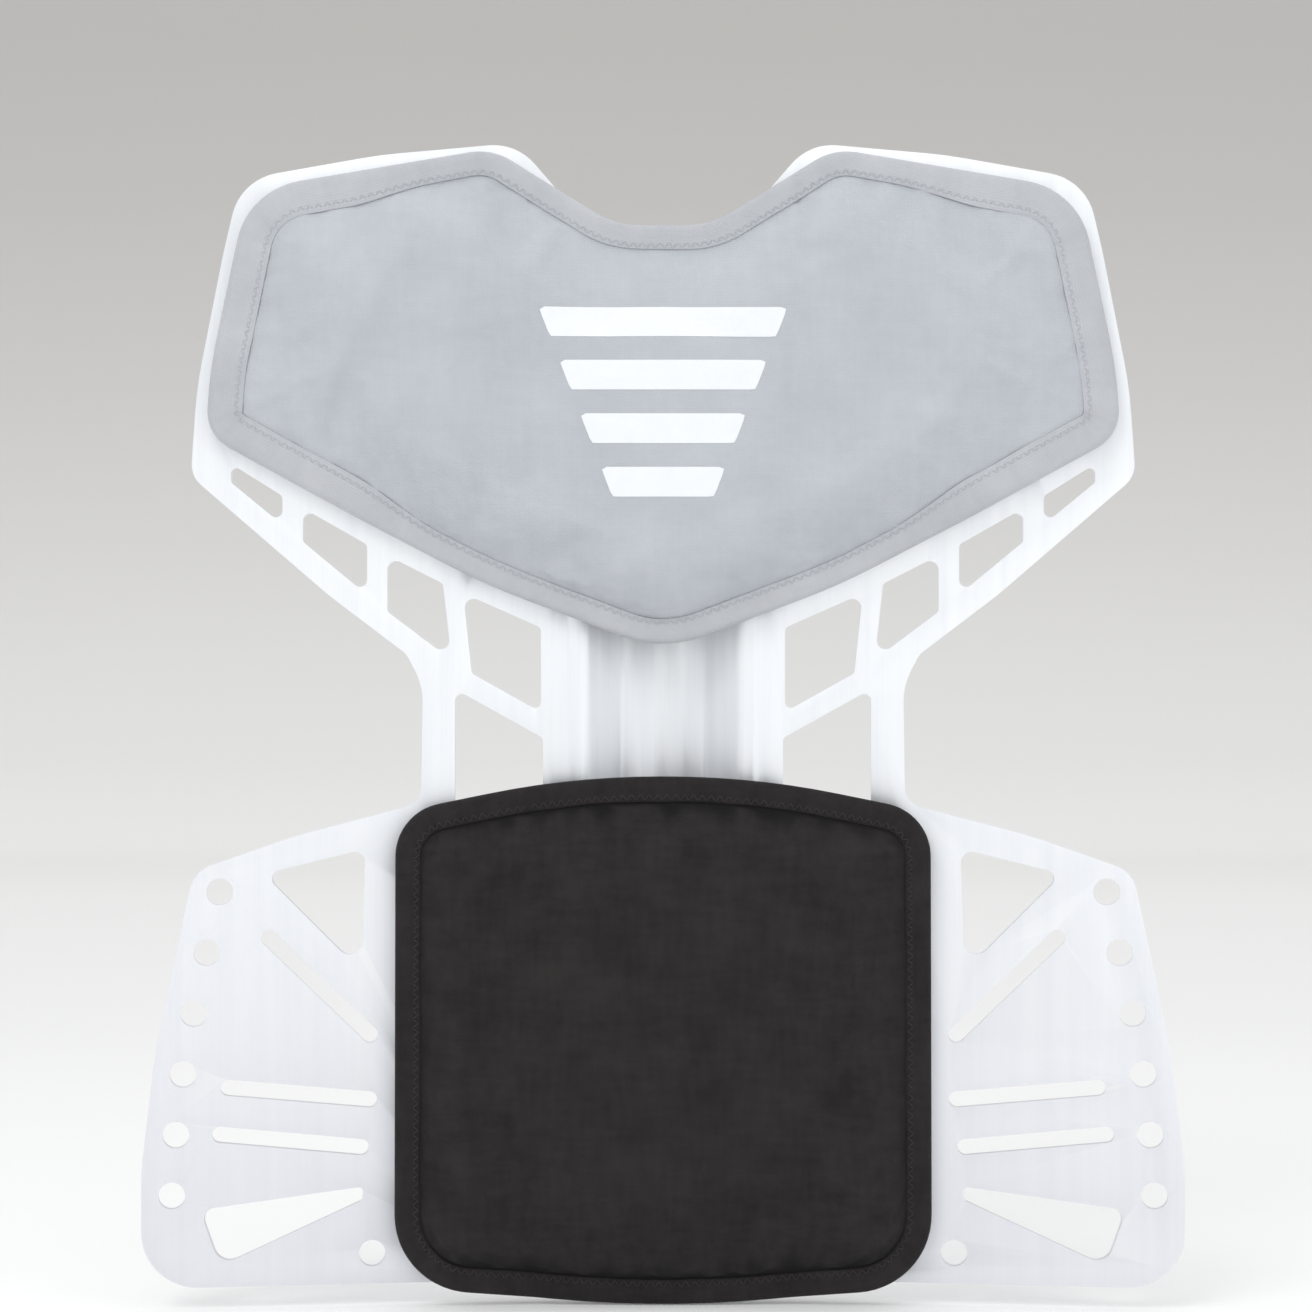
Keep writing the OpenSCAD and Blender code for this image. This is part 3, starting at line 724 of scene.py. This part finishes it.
padLayers = {"liner": 1.0 * mm, "back": 1.02 * mm, "hem": 1.95 * mm}
tapeShape = {"width": 8.5 * mm, "spacing": 1.5 * mm, "front": 1.9 * mm, "sway": 0.25 * mm, "swayPitch": 14 * mm,
             "pinch": 0.12 * mm, "pinchPitch": 5 * mm, "seed": 1.3}
hemSides = {"from": 80 * mm, "blend": 30 * mm}
linerShape = {"spacing": 3 * mm, "holeSpacing": 1 * mm, "ring": 1.5 * mm, "leastHole": 5 * mm ** 2,
              "dip": 0.35 * mm, "dipScale": 16 * mm, "dipFrom": 5 * mm, "edgeDip": 0.2 * mm, "edgeBlend": 2 * mm,
              "edgeRound": 0.15 * mm, "cornerAngle": 50}
foamShape = {"edgeSpacing": 3.2 * mm, "spacing": 3.4 * mm, "rings": [1.5 * mm, 3.5 * mm], "back": 2.25 * mm,
             "most": 9.6 * mm, "least": 0.4 * mm, "room": 1.6 * mm, "capRoom": 0.9 * mm, "capReach": 8 * mm,
             "capBlend": 3 * mm, "fill": 0.9}
# how the fabric fills out: no point goes further than the cap, or further inwards than the sink
filling = {"frames": 20, "quality": 5, "mass": 0.15, "stiffness": 12, "bending": 0.3, "pressure": 4,
           "spare": 0.03, "cap": 2.5 * mm, "sink": 0.2 * mm}


def smoothStep(t):
    t = np.clip(t, 0, 1)
    return t * t * (3 - 2 * t)


def foldHeight(points, folds):
    # soft ridges from one point to another, each with its own width and height
    height = np.zeros(len(points))
    for start, end, width, rise in folds:
        start, end = np.array(start), np.array(end)
        along = end - start
        t = np.clip(((points - start) @ along) / (along @ along), 0, 1)
        gap = np.hypot(*(points - start - t[:, None] * along).T)
        height += rise * np.exp(-(gap / width) ** 2) * np.sin(math.pi * (0.12 + 0.76 * t))
    return height


def softNoise(points, scale, seed):
    return np.array([noise.noise(Vector((x / scale, z / scale, seed))) for x, z in points])


def noiseAlong(around, pitch, row, seed):
    return np.array([noise.noise(Vector((s / pitch, row, seed))) for s in around])


def sideShare(x):
    return smoothStep((np.abs(x) - hemSides["from"]) / hemSides["blend"])


def hemLift(x, share, shape):
    # where the hem is wide it lies on the edge of the foam, so it comes forward
    return shape["sideLift"] * sideShare(x) * np.clip(share, 0, 1)


def crownHeight(x, distance, shape):
    t = np.clip((distance - shape["creaseAt"]) / shape["rise"], 0, 1)
    hem = padLayers["hem"] + hemLift(x, distance / tapeShape["width"], shape)
    return hem + (shape["crown"] - hem) * (1 - (1 - t) ** shape["fullness"])


def hemWiden(x, shape):
    # how much wider the hem is out at the sides than along the middle
    return 1 + shape["sideHem"] * sideShare(x)


def puff(piece, pinned):
    # the fabric fills out against its stitched edge
    group = piece.vertex_groups.new(name="stitched down")
    group.add([int(k) for k in pinned], 1.0, "REPLACE")
    cloth = piece.modifiers.new("fabric", "CLOTH")
    settings = cloth.settings
    settings.quality = filling["quality"]
    settings.mass = filling["mass"]
    settings.tension_stiffness = settings.compression_stiffness = filling["stiffness"]
    settings.shear_stiffness = filling["stiffness"] / 2
    settings.bending_stiffness = filling["bending"]
    settings.vertex_group_mass = group.name
    settings.use_pressure = True
    settings.uniform_pressure_force = filling["pressure"]
    settings.shrink_min = settings.shrink_max = -filling["spare"]
    settings.effector_weights.gravity = 0
    cloth.collision_settings.use_collision = False
    cloth.point_cache.frame_start = 1
    cloth.point_cache.frame_end = filling["frames"]
    before = np.array([tuple(v.co) for v in piece.data.vertices])
    for step in range(1, filling["frames"] + 1):
        scene.frame_set(step)
    graph = bpy.context.evaluated_depsgraph_get()
    after = np.array([tuple(v.co) for v in piece.evaluated_get(graph).data.vertices])
    piece.modifiers.clear()
    piece.vertex_groups.clear()
    moved = after - before
    length = np.hypot(moved[:, 0], np.hypot(moved[:, 1], moved[:, 2]))
    held = filling["cap"] * np.tanh(length / filling["cap"])
    moved *= (held / np.maximum(length, 1e-9))[:, None]
    moved[:, 1] = np.minimum(moved[:, 1], filling["sink"])
    print(piece.name, "fabric moved", round(length.max() / mm, 2), "mm at most, held to",
          round(held.max() / mm, 2))
    piece.data.vertices.foreach_set("co", (before + moved).ravel())
    piece.data.update()


def makeCover(area, shape, fabric):
    loop = evenLoop(wallLoops(area + "_pad_liner")[0], shape["spacing"])
    crease = shape["creaseAt"]
    rings = [0.45 * crease, 0.8 * crease, *(crease + step * mm for step in (0, 1.3, 2.8, 4.8, 7.2))]
    flat, faces = fillLoop(loop, shape["spacing"], rings)
    x, z = flat.T
    distance, around = edgeDistance(flat, loop)
    distance /= hemWiden(x, shape)
    past = distance - crease
    beyond = np.clip(past, 0, None)
    inner = smoothStep(past / shape["innerBlend"])
    gather = noiseAlong(around, shape["gatherPitch"], 3.7, 0)
    gather *= np.exp(-beyond / shape["gatherReach"]) * smoothStep(past / shape["gatherBlend"])
    pucker = np.zeros(len(flat))
    for middle, halfWidth, length in shape["puckers"]:
        pucker += np.exp(-((x - middle) / halfWidth) ** 2 - (beyond / length) ** 2)
    pucker *= z > loop[:, 1].mean()
    height = crownHeight(x, distance, shape)
    height += shape["gather"] * gather
    height -= shape["puckerDip"] * pucker * smoothStep(past / shape["puckerBlend"])
    height += inner * foldHeight(flat, shape["folds"])
    height += inner * shape["unevenness"] * softNoise(flat, shape["unevenScale"], shape["seed"])
    back = padBack(x)
    points, shell = closeShell(flat, faces, [loop], back - height, back - padLayers["back"])
    piece = addPiece(area + "Cover", points, shell, fabric)
    faceOutwards(piece.data)
    count = len(flat)
    pinned = [k for k in range(count) if past[k] < shape["pinned"]] + list(range(count, 2 * count))
    puff(piece, pinned)
    # the painted shade along the seam and in the puckers under the top seam: deepest at the top and bottom, and
    # uneven
    wander = noiseAlong(around, shape["creasePitch"], 8.1, shape["seed"])
    level = np.abs(z - (loop[:, 1].min() + loop[:, 1].max()) / 2) / np.ptp(loop[:, 1])
    ends = shape["sideCreaseShade"] + (1 - shape["sideCreaseShade"]) * smoothStep((level - 0.36) / 0.07)
    reach = shape["creaseShade"] * (1 + ends * np.clip(shape["creaseVary"] * wander, -0.6, 2.5))
    depth = np.clip(ends * np.exp(-(beyond / reach) ** 1.5) + pucker, 0, 1)
    shade = piece.data.attributes.new("crease", "FLOAT", "POINT")
    shade.data.foreach_set("value", np.concatenate([depth, depth]).astype(np.float32))
    piece.data.shade_smooth()
    subdivide = piece.modifiers.new("smooth", "SUBSURF")
    subdivide.levels = subdivide.render_levels = 1
    applyModifiers(piece)
    finishPiece(piece, area + "_pad", area + "_fabric", area + "_pad_cover")
    return piece, loop


def makeLiner(area, shape):
    # the mesh cloth on the pad's back, with its socket openings, softly uneven and drawn in along its edge
    outline, *holes = [loop for loop in wallLoops(area + "_pad_liner") if loopArea(loop) > linerShape["leastHole"]]
    outline = evenLoop(outline, shape["spacing"])
    holes = [evenLoop(hole, linerShape["holeSpacing"]) for hole in holes]
    flat, faces = fillLoop(outline, linerShape["spacing"], [linerShape["ring"]], holes)
    inset = edgeDistance(flat, outline)[0]
    for hole in holes:
        inset = np.minimum(inset, np.abs(edgeDistance(flat, hole)[0]))
    give = smoothStep(inset / linerShape["dipFrom"])
    drawn = linerShape["dip"] * give * (0.5 + 0.5 * softNoise(flat, linerShape["dipScale"], shape["seed"]))
    drawn += linerShape["edgeDip"] * (1 - smoothStep(inset / linerShape["edgeBlend"]))
    back = padBack(flat[:, 0])
    points, shell = closeShell(flat, faces, [outline, *holes], back - padLayers["liner"], back - drawn)
    piece = addPiece(area + "Liner", points, shell, linerLook)
    faceOutwards(piece.data)
    piece.data.shade_smooth()
    roundEdges(piece, linerShape["edgeRound"], 2, linerShape["cornerAngle"], False)
    finishPiece(piece, area + "_pad", "liner_mesh", area + "_pad_liner")


def makeFoam(area, shape, edge):
    loop = evenLoop(wallLoops(area + "_pad_foam")[0], foamShape["edgeSpacing"])
    flat, faces = fillLoop(loop, foamShape["spacing"], foamShape["rings"])
    distance = edgeDistance(flat, edge)[0] / hemWiden(flat[:, 0], shape)
    top = np.minimum(crownHeight(flat[:, 0], distance, shape) - foamShape["room"], foamShape["most"])
    bottom = np.full(len(flat), foamShape["back"])
    for centre in partCentres(area + "_socket_caps"):
        gap = np.hypot(*(flat - centre).T)
        near = smoothStep((foamShape["capReach"] + foamShape["capBlend"] - gap) / foamShape["capBlend"])
        bottom += foamShape["capRoom"] * near
    back = padBack(flat[:, 0])
    front = np.maximum(top, bottom + foamShape["least"])
    points, shell = closeShell(flat, faces, [loop], back - front, back - bottom)
    piece = addPiece(area + "Foam", points, shell, foamLook)
    faceOutwards(piece.data)
    piece.data.shade_smooth()
    finishPiece(piece, area + "_pad", "foam", area + "_pad_foam")


def tapeSection(width):
    # the folded tape across its width: how far in from the edge, and how far in front of the pad's back
    outer = [(width, 2.25), (width - 0.15, 2.46), (width - 0.6, 2.56), (width - 1.6, 2.52), (width - 2.8, 2.56),
             (width - 4.2, 2.66), (3.4, 2.70), (1.9, 2.64), (0.95, 2.40), (0.28, 1.80), (0, 1.0),
             (0.28, 0.18), (0.95, -0.48), (1.9, -0.76), (3.4, -0.80), (width - 3, -0.80), (width - 0.6, -0.78),
             (width - 0.15, -0.6), (width, -0.35)]
    inner = [(width - 0.3, -0.04), (3.2, -0.02), (1.3, 0.1), (0.85, 0.55), (0.85, 1.45), (1.3, 1.92),
             (3.2, 2.0), (width - 0.3, 2.04)]
    return np.array(outer + inner) * mm


def makeTape(area, tape, shape, fabric):
    loop = evenLoop(wallLoops(area + "_pad_binding")[0], tape["spacing"])
    normals = inwardNormals(loop)
    section = tapeSection(tape["width"] / mm)
    rings, count = len(section), len(loop)
    step = np.hypot(*(np.roll(loop, -1, axis=0) - loop).T)
    around = np.concatenate([[0], np.cumsum(step)])
    sway = noiseAlong(around[:-1], tape["swayPitch"], 0.5, tape["seed"])
    pinch = noiseAlong(around[:-1], tape["pinchPitch"], 9.5, tape["seed"])
    widen = hemWiden(loop[:, 0], shape)
    points = []
    for depth, height in section:
        share = depth / tape["width"]
        flat = loop + normals * (depth * (1 + share * (widen - 1)) + share * tape["sway"] * sway)[:, None]
        lift = height
        if height > tape["front"]:
            lift = height + tape["pinch"] * pinch * (1 - abs(2 * share - 1)) + hemLift(loop[:, 0], share, shape)
        points.append(np.column_stack([flat[:, 0], padBack(flat[:, 0]) - lift, flat[:, 1]]))
    points = np.vstack(points)
    across = np.concatenate([[0], np.cumsum(np.hypot(*np.diff(np.vstack([section, section[:1]]), axis=0).T))])
    faces, uvs = [], []
    for r in range(rings):
        nextRing = (r + 1) % rings
        for k in range(count):
            ahead = (k + 1) % count
            faces.append((r * count + k, r * count + ahead, nextRing * count + ahead, nextRing * count + k))
            uvs += [(around[k], across[r]), (around[k + 1], across[r]), (around[k + 1], across[r + 1]),
                    (around[k], across[r + 1])]
    piece = addPiece(area + "EdgeTape", points, faces, fabric)
    layer = piece.data.uv_layers.new(name="tape")
    layer.data.foreach_set("uv", np.array(uvs, np.float32).ravel())
    faceOutwards(piece.data)
    piece.data.shade_smooth()
    finishPiece(piece, area + "_pad", area + "_tape", area + "_pad_binding")
    return loop


def zigzagTree():
    # a sewing thread that zigzags along each closed path and dips where the needle went through
    tree, given, out, add = startShapeTree(
        "zigzag stitches",
        [("Path", "NodeSocketGeometry"), ("Points", "NodeSocketInt"), ("Half Width", "NodeSocketFloat"),
         ("Thread Radius", "NodeSocketFloat"), ("Rise", "NodeSocketFloat"), ("Dip", "NodeSocketFloat"),
         ("Thread", "NodeSocketMaterial")], "Stitches")

    def vector(operation, a, b):
        node = tree.nodes.new("ShaderNodeVectorMath")
        node.operation = operation
        tree.links.new(a, node.inputs[0])
        target = node.inputs["Scale"] if operation == "SCALE" else node.inputs[1]
        if b is not None:
            tree.links.new(b, target)
        return node.outputs[0]

    facing = add("GeometryNodeInputNamedAttribute", Name="facing")
    facing.data_type = "FLOAT_VECTOR"
    index = tree.nodes.new("GeometryNodeInputIndex").outputs[0]
    tangent = tree.nodes.new("GeometryNodeInputTangent").outputs[0]
    curve = add("GeometryNodeMeshToCurve", Mesh=given["Path"])
    even = add("GeometryNodeResampleCurve", Curve=curve.outputs[0], Count=given["Points"])
    side = vector("NORMALIZE", vector("CROSS_PRODUCT", tangent, facing.outputs[0]), None)
    maths = partial(mathNode, tree)
    swing = maths("MULTIPLY", maths("MULTIPLY_ADD", maths("MODULO", index, 2.0), -2.0, 1.0), given["Half Width"])
    zigzag = add("GeometryNodeSetPosition", Geometry=even.outputs[0], Offset=vector("SCALE", side, swing))
    finer = add("GeometryNodeSubdivideCurve", Curve=zigzag.outputs[0], Cuts=3)
    turn = maths("MULTIPLY", maths("MODULO", index, 4.0), math.pi / 4)
    reach = maths("ADD", given["Rise"], given["Dip"])
    lift = maths("SUBTRACT", maths("MULTIPLY", maths("SINE", turn), reach), given["Dip"])
    sewn = add("GeometryNodeSetPosition", Geometry=finer.outputs[0],
               Offset=vector("SCALE", facing.outputs[0], lift))
    circle = add("GeometryNodeCurvePrimitiveCircle", Resolution=6, Radius=given["Thread Radius"])
    tube = add("GeometryNodeCurveToMesh", Curve=sewn.outputs[0], Profile_Curve=circle.outputs[0])
    return endShapeTree(tree, tube.outputs[0], given["Thread"], out, add)


stitchTree = zigzagTree()


def sewTape(area, tapeLoop, sewing, shape, thread):
    # one stitch path on the front of the tape and one behind it
    loop = evenLoop(tapeLoop, sewing["pathSpacing"])
    flat = loop + inwardNormals(loop) * (sewing["inset"] * hemWiden(loop[:, 0], shape))[:, None]
    count = len(flat)
    back = padBack(flat[:, 0])
    front = sewing["frontLevel"] + hemLift(loop[:, 0], sewing["inset"] / tapeShape["width"], shape)
    points = [np.column_stack([flat[:, 0], back - level, flat[:, 1]]) for level in (front, sewing["backLevel"])]
    edges = [(start + k, start + (k + 1) % count) for start in (0, count) for k in range(count)]
    mesh = bpy.data.meshes.new(area + "Stitches")
    mesh.from_pydata([tuple(p) for p in np.vstack(points)], edges, [])
    facing = mesh.attributes.new("facing", "FLOAT_VECTOR", "POINT")
    towards = np.zeros((2 * count, 3), np.float32)
    towards[:count, 1] = -1
    towards[count:, 1] = 1
    facing.data.foreach_set("vector", towards.ravel())
    piece = placeMesh(area + "Stitches", mesh)
    length = np.hypot(*(np.roll(flat, -1, axis=0) - flat).T).sum()
    bakeTree(piece, stitchTree, {
        "Points": 2 * int(round(length / sewing["pitch"])), "Half Width": sewing["halfWidth"],
        "Thread Radius": sewing["threadRadius"], "Rise": sewing["rise"], "Dip": sewing["dip"], "Thread": thread})
    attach(piece, area + "_pad")


coverShape = {"spacing": 2.9 * mm, "crown": 10.4 * mm, "innerBlend": 9 * mm, "gatherPitch": 9 * mm,
              "gatherBlend": 3 * mm, "puckerBlend": 2 * mm, "pinned": 0.6 * mm}
upperShape = {
    **coverShape, "creaseAt": 7.8 * mm, "rise": 24 * mm, "fullness": 1.7, "fill": 0.6,
    "gather": 0.5 * mm, "gatherReach": 10 * mm, "puckers": [], "puckerDip": 0.0,
    "creaseShade": 1.0 * mm, "creaseVary": 2, "creasePitch": 12 * mm, "sideCreaseShade": 0.6,
    "sideHem": 0.42, "sideLift": 2.0 * mm, "unevenness": 0.5 * mm, "unevenScale": 30 * mm, "seed": 4.2,
    # start, end, width and height of each soft fold
    "folds": [((-0.124, 0.088), (-0.084, 0.160), 6 * mm, 1.8 * mm),
              ((-0.104, 0.074), (-0.062, 0.150), 7 * mm, 1.6 * mm),
              ((-0.136, 0.100), (-0.116, 0.150), 5 * mm, 0.9 * mm),
              ((-0.046, 0.140), (-0.036, 0.168), 5 * mm, 0.9 * mm),
              ((-0.010, 0.034), (-0.002, 0.064), 4 * mm, 0.9 * mm),
              ((0.066, 0.164), (0.104, 0.112), 9 * mm, 0.6 * mm)],
}
lumbarShape = {
    **coverShape, "creaseAt": 8.4 * mm, "rise": 18 * mm, "fullness": 2.0, "fill": 0.7,
    "gather": 1.1 * mm, "gatherReach": 8 * mm,
    # place, half width and depth of each pucker under the top seam; each pucker is also darkened with painted shade
    "puckers": [(-22 * mm, 2.6 * mm, 4.5 * mm), (2.5 * mm, 2.6 * mm, 5.5 * mm), (34 * mm, 4 * mm, 2.5 * mm)],
    "puckerDip": 0.8 * mm,
    "creaseShade": 2.2 * mm, "creaseVary": 7, "creasePitch": 7 * mm, "sideCreaseShade": 0.25,
    "sideHem": 0.0, "sideLift": 0.0, "unevenness": 0.4 * mm, "unevenScale": 34 * mm, "seed": 8.9,
    "folds": [((-0.026, -0.042), (-0.022, -0.060), 3.5 * mm, 0.7 * mm),
              ((0.009, -0.041), (0.006, -0.058), 3.5 * mm, 0.7 * mm),
              ((-0.0105, -0.041), (-0.012, -0.056), 3.5 * mm, 0.6 * mm),
              ((-0.060, -0.060), (-0.020, -0.110), 12 * mm, 0.3 * mm)],
}
sewing = {"inset": 7.0 * mm, "frontLevel": 2.60 * mm, "backLevel": -0.80 * mm, "pathSpacing": 2 * mm,
          "pitch": 3 * mm, "halfWidth": 1.0 * mm, "threadRadius": 0.17 * mm, "rise": 0.12 * mm, "dip": 0.25 * mm}

covers = {}
for area, shape, fabric, tapeFabric, thread in (
        ("upper", upperShape, upperFabric, upperTape, upperThread),
        ("lumbar", lumbarShape, lumbarFabric, lumbarTape, lumbarThread)):
    covers[area], coverEdge = makeCover(area, shape, fabric)
    makeLiner(area, shape)
    makeFoam(area, shape, coverEdge)
    tapeLoop = makeTape(area, tapeShape, shape, tapeFabric)
    sewTape(area, tapeLoop, sewing, shape, thread)
    print(area, "pad made")


# Printed bars on the shoulder pad, lying on the puffed cover

def printEmblem(cover):
    ink = {"spacing": 2 * mm, "above": 0.16 * mm, "below": 0.25 * mm}
    tree = BVHTree.FromPolygons([v.co for v in cover.data.vertices],
                                [tuple(p.vertices) for p in cover.data.polygons])
    startY, backwards = cadLow.y - 50 * mm, Vector((0, 1, 0))
    allPoints, allFaces = [], []
    for loop in wallLoops("upper_pad_emblem"):
        loop = evenLoop(loop, ink["spacing"])
        flat, faces = fillLoop(loop, ink["spacing"])
        surface = np.array([tree.ray_cast(Vector((x, startY, z)), backwards)[0].y for x, z in flat])
        points, shell = closeShell(flat, faces, [loop], surface - ink["above"], surface + ink["below"])
        start = len(allPoints)
        allPoints += [tuple(p) for p in points]
        allFaces += [tuple(start + k for k in f) for f in shell]
    piece = addPiece("upperEmblem", allPoints, allFaces, inkLook)
    faceOutwards(piece.data)
    finishPiece(piece, "upper_pad", "emblem_print", "upper_pad_emblem")


printEmblem(covers["upper"])
print("emblem printed")


# Floor, backdrop, light and camera

def makeStage():
    stage = {"floorGap": 0.3 * mm, "frontY": -3.5, "bendY": 2.3, "bendRadius": 0.35, "topZ": 4.5, "halfWidth": 4.5,
             "bendSteps": 24, "floorFade": 0.1, "fadeEnd": 1.3, "glow": 0.1, "shadeWarmth": 0.06,
             # how far up the painted shade fade, and how pale
             "shadeTones": ((0.0, 0.91), (0.06, 0.868), (0.137, 0.925), (0.18, 0.895), (0.27, 0.79), (0.446, 0.70),
                       (0.623, 0.608), (0.80, 0.539), (0.951, 0.508))}
    floorZ = cadLow.z - stage["floorGap"]
    profile = [(stage["frontY"], floorZ)]
    for k in range(stage["bendSteps"] + 1):
        angle = math.pi / 2 * k / stage["bendSteps"]
        profile.append((stage["bendY"] + stage["bendRadius"] * math.sin(angle),
                        floorZ + stage["bendRadius"] * (1 - math.cos(angle))))
    profile.append((stage["bendY"] + stage["bendRadius"], stage["topZ"]))
    points = [(side * stage["halfWidth"], y, z) for y, z in profile for side in (-1, 1)]
    faces = [(2 * k, 2 * k + 1, 2 * k + 3, 2 * k + 2) for k in range(len(profile) - 1)]
    material, tree, shader = startMaterial("studio paper", {"Roughness": 0.9, "Specular IOR Level": 0.0})
    maths = partial(mathNode, tree)
    # painted shade: the paper is coloured a little darker along the floor and then up the wall, a little warmer as
    # it goes, and glows faintly in that same colour
    _, y, z = axesOf(tree, objectPlace(tree))
    back = maths("MULTIPLY", maths("MAXIMUM", y, 0.0), stage["floorFade"])
    fade = maths("ADD", back, maths("SUBTRACT", z, floorZ))
    ramp = addNode(tree, "ShaderNodeValToRGB", Fac=maths("DIVIDE", fade, stage["fadeEnd"]))
    while len(ramp.color_ramp.elements) < len(stage["shadeTones"]):
        ramp.color_ramp.elements.new(0.5)
    for element, (position, tone) in zip(ramp.color_ramp.elements, stage["shadeTones"]):
        shadeWarmth = stage["shadeWarmth"] * position
        element.position = position
        element.color = (tone, tone * (1 - 0.4 * shadeWarmth), tone * (1 - shadeWarmth), 1)
    tree.links.new(ramp.outputs[0], shader.inputs["Base Color"])
    tree.links.new(ramp.outputs[0], shader.inputs["Emission Color"])
    shader.inputs["Emission Strength"].default_value = stage["glow"]
    backdrop = addPiece("backdrop", points, faces, material)
    backdrop.data.shade_smooth()


def addSoftbox(name, spot, target, size, power):
    light = bpy.data.lights.new(name, "AREA")
    light.shape = "RECTANGLE"
    light.size, light.size_y = size
    light.energy = power
    lamp = bpy.data.objects.new(name, light)
    lamp.location = spot
    lamp.rotation_euler = (target - Vector(spot)).to_track_quat("-Z", "Y").to_euler()
    scene.collection.objects.link(lamp)


def setStudio():
    studio = {"colour": (0.98, 0.99, 1.0, 1), "strength": 0.80,
              # name, place, width and height, power
              "softboxes": (("keyLight", (-0.8, -1.2, 1.5), (1.0, 1.0), 9),
                            ("fillLight", (1.3, -1.3, 0.3), (1.0, 1.4), 4),
                            ("topLight", (0, 0.1, 1.9), (2.4, 1.8), 8))}
    world = bpy.data.worlds.new("studio")
    world.use_nodes = True
    background = world.node_tree.nodes["Background"]
    background.inputs["Color"].default_value = studio["colour"]
    background.inputs["Strength"].default_value = studio["strength"]
    scene.world = world
    for name, spot, size, power in studio["softboxes"]:
        addSoftbox(name, spot, (cadLow + cadHigh) / 2, size, power)
    scene.view_settings.view_transform = "Standard"


def setCamera():
    lens = {"focal": 85, "sensor": 36, "farthest": 20, "distance": 1.053, "sideways": -2.4 * mm, "above": 23 * mm}
    middle = (cadLow + cadHigh) / 2
    camera = bpy.data.cameras.new("camera")
    camera.lens = lens["focal"]
    camera.sensor_width = lens["sensor"]
    camera.clip_end = lens["farthest"]
    viewer = bpy.data.objects.new("camera", camera)
    viewer.location = (lens["sideways"], middle.y - lens["distance"], middle.z + lens["above"])
    viewer.rotation_euler = (math.pi / 2, 0, 0)
    scene.collection.objects.link(viewer)
    scene.camera = viewer


makeStage()
setStudio()
setCamera()
print("studio set")
